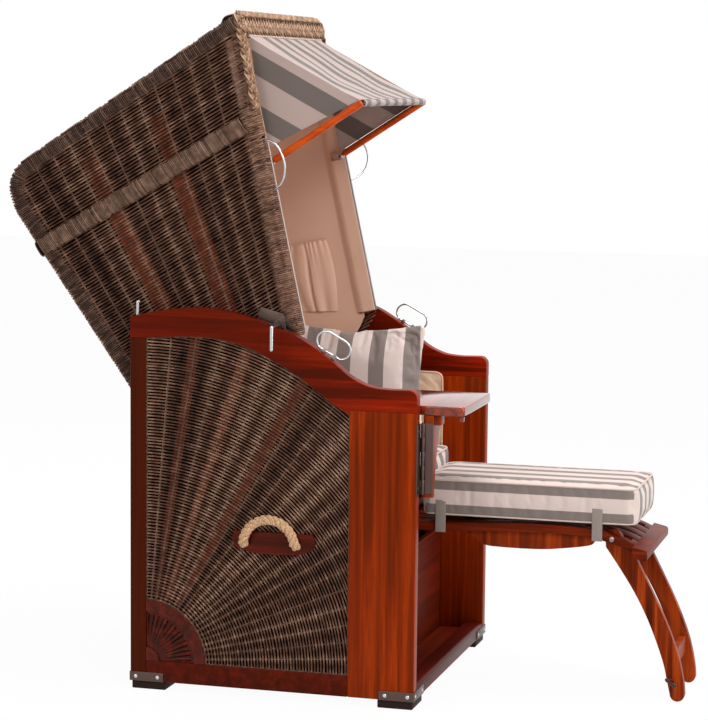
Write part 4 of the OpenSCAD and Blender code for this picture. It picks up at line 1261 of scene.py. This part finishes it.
def makeBand():
    # a raised band wrapped crosswise runs round both sides and the back
    up = hoodWay(0, 0, 1)
    for side in sides:
        ys = np.linspace(frontAt(band["frontZ"]) + band["frontGap"],
                         backAt(band["backZ"]) - band["backGap"], band["steps"])
        path = [(hoodSpot(sideX(side, band["x"]), y, band["z"] + risen(y)),
                 across * -sideSign(side), up) for y in ys]
        wrapped(side + "Band", path, bandWrap, "band", seed=26)
    y, z = backAt(band["rearZ"]) + band["rearOut"], band["z"] + risen(band["rearY"])
    path = [(hoodSpot(x, y, z), hoodWay(0, 1, 0), up)
            for x in np.linspace(*band["rearX"], band["rearSteps"])]
    wrapped("rearBand", path, bandWrap, "band", seed=27)


for side in sides:
    makeHoodSide(side)
    makeHoodEdges(side)
makeHoodRoof()
makeHoodCore()
makeFrontBar()
makeBraid()
makeBand()
for name, node in (("rightRoll", "edge_rolls"), ("rightBand", "hood_band"),
                   ("rightRim", "hood_rims")):
    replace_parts(bpy.data.objects[name], node)
print("hood woven")


# cushions: boxed shapes puffed up by pressure, with their seams held
bpy.context.scene.frame_start = 1
bpy.context.scene.frame_end = 22
clothSettings = {
    "quality": 5, "mass": 0.25, "tension_stiffness": 14, "compression_stiffness": 14,
    "shear_stiffness": 5, "bending_stiffness": 0.35, "tension_damping": 12,
    "compression_damping": 12, "shear_damping": 12, "air_damping": 3, "use_pressure": True,
    "vertex_group_mass": "held",
}


def puff(piece, held, pressure, grow, most, frames=18):
    # a short run of the cloth solver; the held vertices stay where they are
    before = np.array([v.co for v in piece.data.vertices])
    piece.vertex_groups.new(name="held").add([int(i) for i in held], 1.0, "REPLACE")
    cloth = piece.modifiers.new("cloth", "CLOTH")
    for key, value in clothSettings.items():
        setattr(cloth.settings, key, value)
    cloth.settings.uniform_pressure_force = pressure
    cloth.settings.shrink_min = -grow
    cloth.settings.effector_weights.gravity = 0
    cloth.collision_settings.use_collision = False
    cloth.point_cache.frame_start, cloth.point_cache.frame_end = 1, frames
    scene = bpy.context.scene
    for f in range(1, frames + 1):
        scene.frame_set(f)
        bpy.context.view_layer.update()
        piece.evaluated_get(bpy.context.evaluated_depsgraph_get())
    pick(piece)
    bpy.ops.object.modifier_apply(modifier="cloth")
    scene.frame_set(1)
    move = np.array([v.co for v in piece.data.vertices]) - before
    size = np.linalg.norm(move, axis=1, keepdims=True)
    move *= np.minimum(1.0, most / np.maximum(size, 1e-9))
    piece.data.vertices.foreach_set("co", (before + move).ravel())
    piece.data.update()
    piece.vertex_groups.clear()


def remeshed(piece, voxel):
    modify(piece, "REMESH", mode="VOXEL", voxel_size=voxel, use_smooth_shade=True)


def refined(piece):
    modify(piece, "SUBSURF", levels=1, render_levels=1)
    pick(piece)
    bpy.ops.object.shade_smooth()


def stripeCorners(piece, place):
    # where each face corner lies across the stripes of the cloth
    data = piece.data
    values = np.zeros(len(data.loops), np.float32)
    for poly in data.polygons:
        for k in poly.loop_indices:
            values[k] = place(data.vertices[data.loops[k].vertex_index].co, poly.normal)
    data.attributes.new("stripePlace", "FLOAT", "CORNER").data.foreach_set("value", values)


def bedded(piece, line, lift):
    # a cord line laid on the surface of a finished cushion
    tree = BVHTree.FromPolygons([v.co for v in piece.data.vertices],
                                [p.vertices[:] for p in piece.data.polygons])
    laid = []
    for p in line:
        where, normal, _, _ = tree.find_nearest(p)
        laid.append(where + normal * lift)
    for _ in range(2):
        laid = [(laid[i - 1] + laid[i] * 2 + laid[(i + 1) % len(laid)]) / 4
                for i in range(len(laid))]
    return laid


def roundedOutline(w, l, corner, steps=8):
    pts = []
    for cx, cy, start in ((1, 1, 0), (-1, 1, 90), (-1, -1, 180), (1, -1, 270)):
        for k in range(steps + 1):
            a = math.radians(start + 90 * k / steps)
            pts.append((cx * (w / 2 - corner) + corner * math.cos(a),
                        cy * (l / 2 - corner) + corner * math.sin(a)))
    return pts


# the last three are shares of the voxel: how near the seam a vertex is held
seam = {"inside": 0.003, "radius": 0.0022, "sunk": 0.45, "step": 0.009, "nearZ": 0.6,
        "nearLine": 1.2, "nearSide": 0.8}


def boxedCushion(name, size, matrix, node, look):
    w, l, h = size
    voxel, inside = look["voxel"], seam["inside"]
    outline = roundedOutline(w - 2 * inside, l - 2 * inside, look["corner"])
    half = h / 2 - inside - look["crown"]
    piece = slab(name, outline, -half, half, lambda z, x, y: (x, y, z))
    remeshed(piece, voxel)
    seamLine = [Vector((x, y, 0)) for x, y in outline]

    def onSeam(co):
        flat = Vector((co.x, co.y, 0))
        return abs(co.z) > half - voxel * seam["nearZ"] and (
            min((flat - p).length for p in seamLine) < voxel * seam["nearLine"]
            or abs(co.x) > w / 2 - inside - voxel * seam["nearSide"]
            or abs(co.y) > l / 2 - inside - voxel * seam["nearSide"])
    puff(piece, [v.index for v in piece.data.vertices if onSeam(v.co)], look["pressure"],
         look["grow"], look["most"])
    refined(piece)
    if look["cloth"] == cushionCloth:
        def stripeAt(co, normal):
            # the stripes run across the top and turn down over the two sides
            if abs(normal.x) > max(abs(normal.y), abs(normal.z)):
                return w / 2 + (h / 2 - co.z)
            return co.x
        stripeCorners(piece, stripeAt)
    lines = []
    for level in (-half, half):
        line = evenly([Vector((x, y, level)) for x, y in outline + outline[:1]], seam["step"])
        lines.append([matrix @ p for p in bedded(piece, line[:-1],
                                                 seam["radius"] * seam["sunk"])])
    piece.data.transform(matrix)
    piece.data.update()
    placeIn(piece, bodyOf[node], look["cloth"], look["slot"], node)
    sewnCord(name + "Piping", lines, seam["radius"], bodyOf[node], look["piping"], look["slot"],
             closed=True)


def boxOf(node):
    low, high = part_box(node)
    return (low + high) / 2, high - low


striped = {"cloth": cushionCloth, "piping": pipingCloth, "slot": "striped_cloth", "fill": 0.7,
           "crown": 0.004}
seatCushion = {**striped, "trim": (0.004, 0.004, 0.004), "corner": 0.03, "voxel": 0.009,
               "pressure": 2.5, "grow": 0.02, "most": 0.008}
restCushion = {**striped, "trim": (0.002, 0.002, 0.004), "corner": 0.022, "voxel": 0.0055,
               "pressure": 2.2, "grow": 0.010, "most": 0.006}
sidePad = {"cloth": padCloth, "piping": padPiping, "slot": "plain_cloth", "fill": 0.5,
           "crown": 0.001, "trim": (0.002, 0.002, 0.001), "corner": 0.014, "voxel": 0.005,
           "pressure": 2.0, "grow": 0.015, "most": 0.004}
backPad = {**striped, "size": (0.624, 0.518, 0.050), "y": 695.0, "z": 1060.0, "corner": 0.03,
           "voxel": 0.009, "pressure": 3.0, "grow": 0.02, "most": 0.008}
for name, look in (("seat", seatCushion), ("rest", restCushion)):
    middle, size = boxOf(name + "_cushion")
    boxedCushion(name + "Cushion", tuple(size - Vector(look["trim"])),
                 Matrix.Translation(middle), name + "_cushion", look)
for side in sides:
    middle, size = boxOf(side + "_side_pad")
    boxedCushion(side + "SidePad", tuple(Vector((size.z, size.y, size.x))
                                         - Vector(sidePad["trim"])),
                 Matrix.Translation(middle) @ Matrix.Rotation(math.radians(90), 4, "Y"),
                 side + "_side_pad", sidePad)


def hoodFrame(x, y, z):
    # matrix of a place in the hood: local axes across, up the hood, out to the front
    up = hoodWay(0, 0, 1)
    m = Matrix((across, up, across.cross(up))).transposed().to_4x4()
    m.translation = hoodSpot(x, y, z)
    return m


boxedCushion("backPad", backPad["size"], hoodFrame(chair["midX"], backPad["y"], backPad["z"]),
             "back_pad", backPad)

pillow = {"scale": 0.985, "stretchY": (1.0, 0.06), "stretchZ": (0.955, 0.115), "back": 0.008,
          "merge": 0.0001, "voxel": 0.0055, "seamX": 0.006, "seam": 0.02, "pressure": 4.0,
          "grow": 0.05, "most": 0.016, "fill": 0.6}


def makePillow():
    # the solid with its corners drawn out, then puffed
    piece = copyOf("throw_pillow", "throwPillow")
    middle, size = boxOf("throw_pillow")
    co = np.array([v.co for v in piece.data.vertices])
    co = (co - np.array(middle)) * pillow["scale"]
    a, b = np.abs(co[:, 1]) / (size.y / 2), np.abs(co[:, 2]) / (size.z / 2)
    corner = (np.minimum(1, a) * np.minimum(1, b)) ** 2
    for axis, (base, more) in ((1, pillow["stretchY"]), (2, pillow["stretchZ"])):
        co[:, axis] *= base + more * corner
    co += np.array(middle) - np.array((0, pillow["back"], 0))
    piece.data.vertices.foreach_set("co", co.ravel())
    editMesh(piece, (bpy.ops.mesh.remove_doubles, {"threshold": pillow["merge"]}))
    remeshed(piece, pillow["voxel"])
    held = [v.index for v in piece.data.vertices
            if abs(v.co.x - middle.x) < pillow["seamX"]
            and (abs(v.co.y - middle.y) > size.y / 2 - pillow["seam"]
                 or abs(v.co.z - middle.z) > size.z / 2 - pillow["seam"])]
    puff(piece, held, pillow["pressure"], pillow["grow"], pillow["most"])
    refined(piece)
    placeIn(piece, "base", pillowCloth, "striped_cloth", "throw_pillow")


makePillow()
print("cushions puffed")


def thicken(piece, thick):
    modify(piece, "SOLIDIFY", thickness=thick, offset=0)
    smooth(piece, "cloth")


def gridPiece(name, nu, nv, at, thick):
    piece = meshPiece(name, [at(i / nu, j / nv) for i in range(nu + 1) for j in range(nv + 1)],
                      gridFaces(nu, nv))
    thicken(piece, thick)
    return piece


def gridStripes(piece, nu, nv, width, first=0.0):
    # the stripes follow the threads of the cloth, whatever its folds
    count = (nu + 1) * (nv + 1)
    values = [max(first, (i % count) // (nv + 1) / nu * width)
              for i in range(len(piece.data.vertices))]
    piece.data.attributes.new("stripePlace", "FLOAT", "POINT").data.foreach_set("value", values)


# awning: the cloth hangs between the hood and the tip of the arms
awning = {"x": 83.5, "armAt": 0.536, "armIn": -10, "armTurn": 180.4, "armLong": 262,
          "clothIn": -3, "clothDown": 53.0, "endY": 1, "endZ": 9, "thick": 0.0012,
          "threads": (132, 56), "sag": 24, "fold": 4.5, "folds": 4.3, "drift": 13, "ease": 5,
          "gather": 2.2, "gathers": 23, "drag": 2.5, "stripes": 0.591, "bound": 0.073,
          "flat": 0.609, "slack": 1.03, "binding": 0.0034, "bindingOut": 0.002}
armRoot = edgePoint(awning["armAt"], awning["armIn"])
armTurn = math.radians(awning["armTurn"])
armTip = (armRoot[0] + awning["armLong"] * math.cos(armTurn),
          armRoot[1] + awning["armLong"] * math.sin(armTurn))
clothTop = Vector(edgePoint(1.0, awning["clothIn"])) - edgeDir * awning["clothDown"]
clothEnd = Vector((armTip[0] + awning["endY"], armTip[1] + awning["endZ"]))


def awningPoint(u, v):
    x = awning["x"] + (chair["width"] - 2 * awning["x"]) * u
    p = clothTop.lerp(clothEnd, v)
    s, middle = math.sin(math.pi * v), math.sin(math.pi * u)
    sag = -awning["sag"] * s * (0.55 + 0.45 * middle)
    folds = awning["fold"] * s * math.sin(math.tau * awning["folds"] * u + 1.4 * v) \
        * (1 - 0.5 * v)
    x += awning["drift"] * math.sin(math.tau * v) * middle \
        + awning["ease"] * s * math.sin(9 * u + 5 * v) * middle
    gather = awning["gather"] * math.exp(-v * 9) * math.sin(math.tau * awning["gathers"] * u) \
        * min(1, v * 12)
    drag = awning["drag"] * s * math.sin(math.tau * (1.5 * u + 2.2 * v))
    return hoodSpot(x, p.x, p.y + sag + folds + gather + drag)


def hang(piece, cloth, x, start, end):
    # cloth painted and its placement baked into the mesh; its two ends are worked out but not
    # used, and it is not joined to the hood or the arms
    paint(piece, cloth)
    hoodSpot(x, *start)
    hoodSpot(x, *end)
    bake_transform(piece)


def makeAwningTop():
    piece = gridPiece("awningTop", *awning["threads"], awningPoint, awning["thick"])
    gridStripes(piece, *awning["threads"], awning["stripes"], awning["bound"])
    hang(piece, awningCloth, chair["midX"], clothTop, clothEnd)
    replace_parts(piece, "awning_cloth")
    line = [awningPoint(u, 0.0) + outward * awning["bindingOut"] for u in np.linspace(0, 1, 60)]
    sewnCord("awningBinding", [line], awning["binding"], "hood", pipingCloth, "striped_cloth", 2)


gusset = {"top": (-2, -7), "tip": (3, 9), "rootY": -4, "rootZ": {"right": 34, "left": 10},
          "threads": (40, 24), "ripple": 2.2}


def makeGusset(side):
    # a triangle from the hood to the tip of the arm
    a = clothTop + Vector(gusset["top"])
    b = Vector(armTip) + Vector(gusset["tip"])
    c = Vector(armRoot) + Vector((gusset["rootY"], gusset["rootZ"][side]))
    along = (b - a).normalized()
    down = Vector((along.y, -along.x))
    if (c - a).dot(down) < 0:
        down = -down
    x = sideX(side, awning["x"])

    def at(u, v):
        p = a.lerp(b, u).lerp(c.lerp(b, u), v)
        ripple = gusset["ripple"] * math.sin(math.pi * v) * math.sin(7 * u + 3 * v) * (1 - u)
        return hoodSpot(x + ripple, p.x, p.y)
    piece = gridPiece(side + "Gusset", *gusset["threads"], at, awning["thick"])
    stripeCorners(piece, lambda co, _: (Vector(uprightPlace(co)) - a).dot(down) / 1000)
    hang(piece, gussetCloth, x, a, b)
    return piece


hem = {"gap": 9, "radius": 8.0, "from": 120, "turn": 330, "tube": 0.8, "flap": 9,
       "scallop": 5, "scallops": 6.7, "wave": 1.2, "waves": 9, "threads": (120, 20),
       "wide": 0.573, "tall": 0.062, "thick": 0.001}


def makeHem():
    # a tube sewn round the front bar with a short scalloped flap
    x0 = awning["x"] + hem["gap"]
    wide = chair["width"] - 2 * x0

    def at(u, v):
        a = math.radians(hem["from"] - hem["turn"] * min(1, v / hem["tube"]))
        base = hoodSpot(x0 + wide * u, armTip[0] + hem["radius"] * math.cos(a),
                        armTip[1] + hem["radius"] * math.sin(a))
        f = max(0, (v - hem["tube"]) / (1 - hem["tube"]))
        drop = hem["flap"] + hem["scallop"] * abs(math.sin(math.pi * hem["scallops"] * u))
        wave = hem["wave"] * math.sin(math.tau * hem["waves"] * u)
        return base + Vector((0, wave * f / 1000, -drop * f / 1000))
    piece = gridPiece("hemTube", *hem["threads"], at, hem["thick"])
    gridStripes(piece, *hem["threads"], hem["wide"])
    placeIn(piece, "awning", awningCloth, "striped_cloth", "awning_hem")


makeAwningTop()
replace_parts([makeGusset(side) for side in sides][0], "awning_gussets")
makeHem()
print("awning hung")


def linedWith(piece, flat, rest, **more):
    # plain cloth of the hood's lining
    placeIn(piece, "hood", liningCloth, "plain_cloth")
    return piece


lining = {"x": 63.0, "low": 812, "top": 1530, "front": 37, "back": 26, "turnZ": 1440,
          "turn": 0.55, "threads": (40, 44), "thick": 0.0015, "flat": (0.66, 0.72),
          "area": 0.60 * 0.72 * 0.6}


def makeLining(side):
    def at(u, v):
        z = lining["low"] + (lining["top"] - lining["low"]) * v
        front = frontAt(z) + lining["front"]
        back = min(backAt(z), rearCorner[-1][0] - max(0, z - lining["turnZ"])
                   * lining["turn"]) - lining["back"]
        wrinkle = 1.0 * math.sin(9 * u + 4 * v) + 0.8 * math.sin(17 * u * (1 - v) + 11 * v)
        flat = min(1, 6 * min(u, 1 - u, v, 1 - v))
        return hoodSpot(sideX(side, lining["x"]) + sideSign(side) * wrinkle * flat,
                        front + (back - front) * u, z)
    return linedWith(gridPiece(side + "Lining", *lining["threads"], at, lining["thick"]),
                     lining["flat"], "hood_slats", area=lining["area"])


facing = {"x": 74.3, "from": 0.004, "long": 0.93, "front": -3.0, "deep": 60.0,
          "tuckAt": [-63, -52, -46, -40, -33, -3], "tuck": [-13, -9.5, -5.5, -2, 0, 0],
          "soft": 0.5, "threads": (90, 16), "thick": 0.0012, "flat": (0.71, 0.063),
          "cordTo": {"right": 0.60, "left": 0.94}, "cordOut": -2.6, "cordIn": 1.6,
          "cord": 0.0021}


def makeFacing(side):
    # lining turned over the inner face of the roll, with piping along its front edge
    x, sign = sideX(side, facing["x"]), sideSign(side)

    def at(u, v):
        out = facing["front"] - facing["deep"] * v
        tuck = float(np.interp(out, facing["tuckAt"], facing["tuck"]))
        soft = -facing["soft"] * math.sin(math.pi * v) * (1 + math.sin(31 * u + 2))
        return hoodSpot(x + sign * (tuck + soft),
                        *edgePoint(facing["from"] + facing["long"] * u, out))
    linedWith(gridPiece(side + "Facing", *facing["threads"], at, facing["thick"]),
              facing["flat"], side + "Roll")
    line = [hoodSpot(x - sign * facing["cordIn"], *edgePoint(t, facing["cordOut"]))
            for t in np.linspace(facing["from"], facing["cordTo"][side], 80)]
    sewnCord(side + "FacingPiping", [line], facing["cord"], "hood", pipingCloth, "plain_cloth")


cornerCover = {"turn": [(61.5, 44.5), (69, 45.0), (74.5, 42.5), (77, 37), (77.5, 30), (77, 24)],
               "from": 112, "low": 800, "step": 12, "soft": 0.5, "thick": 0.0012,
               "flat": (0.036, 1.30)}


def makeCornerCover(side):
    # lining turned over the wrapped rim inside the hood, from the roof down the back
    turn = spline(cornerCover["turn"], 3)
    frames = profileFrames(roofLine(cornerCover["from"], cornerCover["low"]),
                           cornerCover["step"])
    pts = [framePoint(sideX(side, x + cornerCover["soft"] * math.sin(i * 0.9 + k)), place,
                      -inward)
           for i, place in enumerate(frames) for k, (x, inward) in enumerate(turn)]
    n = len(turn)
    faces = [(a, a + 1, a + n + 1, a + n) for i in range(len(frames) - 1)
             for a in range(i * n, i * n + n - 1)]
    piece = meshPiece(side + "CornerCover", pts, faces)
    thicken(piece, cornerCover["thick"])
    linedWith(piece, cornerCover["flat"], side + "Rim")


roofLining = {
    "line": [(58, 1530), (350, 1530), (640, 1530), (690, 1524), (716, 1508), (730, 1480),
             (735, 1430), (731, 1300), (724, 1100), (719, 961), (719, 800)],
    "step": 16.0, "x": 63, "wide": 632, "wave": 0.98, "columns": 40, "thick": 0.0015,
    "flat": (0.632, 1.30),
}


def makeRoofLining():
    line = evenly(upright(spline(roofLining["line"], 4)), roofLining["step"])

    def at(u, v):
        k = v * (len(line) - 1)
        i = min(int(k), len(line) - 2)
        p = line[i].lerp(line[i + 1], k - i)
        wave = roofLining["wave"] * math.sin(12 * u + 5 * v) * min(1, 6 * min(u, 1 - u))
        return hoodSpot(roofLining["x"] + roofLining["wide"] * u, p.y - wave, p.z - wave)
    linedWith(gridPiece("roofLining", roofLining["columns"], len(line) * 2, at,
                        roofLining["thick"]), roofLining["flat"], "hood_slats")


pocket = {
    "x": 64.5, "top": ((322, 1066), (433, 1108)), "low": ((397, 893), (484, 944)),
    "bulge": ((-8, -4), (16, 2)), "belly": 9, "gather": 1.9, "gathers": 9.5, "crease": 6.5,
    "creaseAt": 0.46, "creaseWide": 0.035, "dip": 1.0, "out": 1.5, "threads": (90, 40),
    "thick": 0.0013, "flat": (0.15, 0.19), "area": 0.0275, "hem": 0.0016,
}


def makePocket(side):
    # a gathered pocket: full in the middle, with one crease and long soft folds
    sign = sideSign(side)

    def at(u, v):
        ends = [Vector(pocket["top"][k]).lerp(Vector(pocket["low"][k]), v)
                + Vector(pocket["bulge"][k]) * math.sin(math.pi * v) for k in (0, 1)]
        p = ends[0].lerp(ends[1], u)
        full = math.sin(math.pi * min(1, max(0, u))) ** 0.6
        belly = pocket["belly"] * full * (0.35 + 0.65 * math.sin(math.pi
                                                                 * min(1, 0.25 + 0.75 * v)))
        turns = pocket["gathers"] * u + 0.6 * math.sin(5 * u) + 0.35 * math.sin(13 * u + 1)
        gathers = pocket["gather"] * math.cos(math.tau * turns + 0.8 * v) * full \
            * math.exp(-v * 7.0)
        crease = -pocket["crease"] * min(1, v * 2.2) \
            * math.exp(-((u - pocket["creaseAt"] - 0.10 * v) / pocket["creaseWide"]) ** 2)
        folds = (2.4 * math.sin(math.tau * 1.6 * u + 1.2 + 1.4 * v)
                 + 1.3 * math.sin(math.tau * 3.4 * u - 1.1 * v)) * full * v + crease * full
        dip = pocket["dip"] * math.cos(math.tau * turns) * (1 - v) ** 8
        out = pocket["out"] + max(0.4, belly + gathers + folds) * (0.25 if v == 0 else 1)
        return hoodSpot(sideX(side, pocket["x"]) + sign * out, p.x, p.y + dip)
    piece = linedWith(gridPiece(side + "Pocket", *pocket["threads"], at, pocket["thick"]),
                      pocket["flat"], side + "Lining", held="gathered", area=pocket["area"])
    line = [at(u, 0.0) + across * sign * 0.001 for u in np.linspace(0, 1, 40)]
    placeIn(strandPiece(side + "PocketHem", [line], pocket["hem"], 1), "hood", liningCloth,
            "plain_cloth")
    return piece


linings = [makeLining(side) for side in sides]
for side in sides:
    makeFacing(side)
    makeCornerCover(side)
makeRoofLining()
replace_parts(linings[0], "hood_lining")
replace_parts([makePocket(side) for side in sides][0], "hood_pockets")
print("lining sewn")

rope = {"y": 350.0, "z": 369.0, "loop": 63.0, "x": -15.3, "thick": 0.022, "lay": 0.042,
        "start": 12.0, "bend": 11.0, "tail": 4, "step": 0.0028}


def turnedIn(end, before):
    # the end of a handle bends through a quarter turn towards the plate
    d = (end - before).normalized()
    r = rope["bend"]
    out = []
    for k in range(1, 9):
        a = math.radians(90 * k / 8)
        out.append(end + d * r * math.sin(a) + Vector((1, 0, 0)) * r * (1 - math.cos(a)))
    return out + [out[-1] + Vector((rope["tail"], 0, 0))]


def makeRope(side):
    angles = np.radians(np.linspace(rope["start"], 180 - rope["start"], 71))
    loop = [Vector((rope["x"], rope["y"] + rope["loop"] * math.cos(a),
                    rope["z"] + rope["loop"] * math.sin(a))) for a in angles]
    line = turnedIn(loop[0], loop[1])[::-1] + loop + turnedIn(loop[-1], loop[-2])
    piece = twisted(side + "Rope", evenly([spot(sideX(side, p.x), p.y, p.z) for p in line],
                                          rope["step"]), rope["thick"], rope["lay"])
    placeIn(piece, "base", ropeCloth, "rope")
    smooth(piece, "rope")
    return piece


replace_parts([makeRope(side) for side in sides][0], "rope_handles")

# solids shown with eased edges: material, width of the edge
boards = {
    "right_top_rail": (railWood, 0.0035), "left_top_rail": (railWood, 0.0035),
    "right_posts": (postWood, 0.0025), "left_posts": (postWood, 0.0025),
    "bottom_rails": (sillWood, 0.0025), "front_sill": (sillWood, 0.002),
    "rear_wall": (sillWood, 0.002), "floor_board": (insideWood, 0.002),
    "kick_board": (insideWood, 0.002), "seat_board": (insideWood, 0.002),
    "footrest_runners": (insideWood, 0.0015), "shell_corners": (carvedWood, 0.0012),
    "handle_plates": (plateWood, 0.003), "feet": (footMaterial, 0.003),
    "table_board": (tableWood, 0.003), "table_gusset": (gussetWood, 0.003),
    "rest_slats": (trayWood, 0.003), "rest_aprons": (legWood, 0.0025),
    "rest_legs": (legWood, 0.004), "awning_arms": (armWood, 0.001),
    "rest_straps": (strapCloth, 0.0006),
}
metals = {
    "corner_shoes": (shoeMetal, 0.0006), "arm_brackets": (darkMetal, 0.0005),
    "ring_clips": (steelMaterial, 0.0005), "post_leaf": (shoeMetal, 0.0004),
    "hood_plates": (darkMetal, 0.0006), "table_leaf": (shoeMetal, 0.0004),
    "arm_sockets": (chromeMaterial, 0.0005),
}
# solids shown as they are
plain = {
    chromeMaterial: ["shoe_screws", "grab_bows"]
    + [side + name for name in ("_hood_pin", "_rear_pin", "_drink_ring") for side in sides],
    steelMaterial: ["rest_bolts"], insideWood: ["rest_carriage"],
    # the band, rolls and shell take the near-black painted shade of the cores
    hoodSlatWood: ["hood_slats"], shadowCoreMaterial: ["hood_band", "edge_rolls", "hood_shell"],
}
for table, segments in ((boards, 3), (metals, 2)):
    for node, (material, width) in table.items():
        placeIn(softEdged(node, width, segments), bodyOf[node], material, slotOf[node], node)
for material, names in plain.items():
    for node in names:
        paint(nodes[node], material)
        for poly in nodes[node].data.polygons:
            poly.material_index = 0

nut = {"y": -0.777, "z": 0.048, "hub": 0.0045, "hubLong": 0.009, "hubOut": 0.0035,
       "wing": (0.0016, 0.00682, 0.00495), "wingOut": 0.006, "wingAway": 0.0088,
       "turns": (35, 215)}


def makeWingNut(side, x, sign):
    # on a bolt end through the lower crosspiece, outside the leg
    clearSelection()
    bpy.ops.mesh.primitive_cylinder_add(vertices=20, radius=nut["hub"], depth=nut["hubLong"],
                                        location=(x + sign * nut["hubOut"], nut["y"], nut["z"]),
                                        rotation=(0, math.radians(90), 0))
    parts = [bpy.context.object]
    for a in np.radians(nut["turns"]):
        clearSelection()
        bpy.ops.mesh.primitive_uv_sphere_add(segments=20, ring_count=12, radius=1)
        wing = bpy.context.object
        wing.scale = nut["wing"]
        wing.rotation_euler = (a, 0, 0)
        wing.location = (x + sign * nut["wingOut"], nut["y"] + math.cos(a) * nut["wingAway"],
                         nut["z"] + math.sin(a) * nut["wingAway"])
        parts.append(wing)
    for part in parts:
        pick(part)
        bpy.ops.object.transform_apply(location=True, rotation=True, scale=True)
    piece = joined(side + "WingNut", parts)
    placeIn(piece, bodyOf["rest_legs"], darkMetal, slotOf["rest_bolts"])
    smooth(piece, "nut")


legsLow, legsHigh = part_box("rest_legs")
makeWingNut("right", legsLow.x, -1)
makeWingNut("left", legsHigh.x, 1)
print("boards and metal dressed")

stage = {"floor": 30.0, "below": 0.0005, "pale": (0.86, 0.86, 0.86, 1), "rough": 0.9,
         "white": 0.955, "light": 0.42}


def seenBy(tree, *rays):
    # 1 for the camera's and the named kinds of rays
    path = addNode(tree, "LightPath").outputs
    seen = path["Is Camera Ray"]
    for ray in rays:
        seen = mathNode(tree, "MAXIMUM", seen, path[ray])
    return seen


def makeStage():
    # a plain pale floor and backdrop that look white and light the chair softly
    clearSelection()
    bpy.ops.mesh.primitive_plane_add(size=stage["floor"], location=(0, 0, -stage["below"]))
    floor = bpy.context.object
    floor.name = "floor"
    m, tree, shader = newMaterial("paleFloor")
    fill(tree, shader, {"Base Color": stage["pale"], "Roughness": stage["rough"]})
    glow = addNode(tree, "Emission", {"Strength": 1.0})
    seen = mathNode(tree, "MULTIPLY", seenBy(tree, "Is Glossy Ray"), stage["white"])
    mix = addNode(tree, "MixShader", {0: seen, 1: shader.outputs[0], 2: glow.outputs[0]})
    fill(tree, tree.nodes["Material Output"], {"Surface": mix.outputs[0]})
    floor.data.materials.append(m)
    world = bpy.data.worlds.new("studio")
    bpy.context.scene.world = world
    world.use_nodes = True
    tree = world.node_tree
    ground = tree.nodes["Background"]
    fill(tree, ground, {"Color": white, "Strength": stage["light"]})
    backdrop = addNode(tree, "Background", {"Color": white, "Strength": 1.0})
    seen = seenBy(tree, "Is Glossy Ray", "Is Transmission Ray")
    mix = addNode(tree, "MixShader", {0: seen, 1: ground.outputs[0], 2: backdrop.outputs[0]})
    fill(tree, tree.nodes["World Output"], {"Surface": mix.outputs[0]})


# place, target, size and power of each lamp
lamps = {
    "keyLamp": ((-3.0, -3.0, 3.9), (0, 0, 0.7), 1.7, 96),
    "frontLamp": ((-0.6, -4.6, 1.5), (0, 0, 0.9), 2.4, 56),
    "sideLamp": ((-4.2, 1.4, 2.8), (0, 0.2, 0.8), 1.6, 34),
    "topLamp": ((0.2, -0.6, 4.2), (0, 0, 0.5), 2.2, 122),
    "backLamp": ((3.0, 2.6, 3.2), (0, 0, 0.9), 2.0, 36),
}


def addLamp(name, where, target, size, power):
    data = bpy.data.lights.new(name, "AREA")
    data.energy, data.size = power, size
    lamp = newObject(name, data)
    lamp.location = where
    lamp.rotation_euler = (Vector(target) - Vector(where)).to_track_quat("-Z", "Y").to_euler()


makeStage()
for name, values in lamps.items():
    addLamp(name, *values)
bpy.context.scene.view_settings.view_transform = "Standard"
print("stage set")
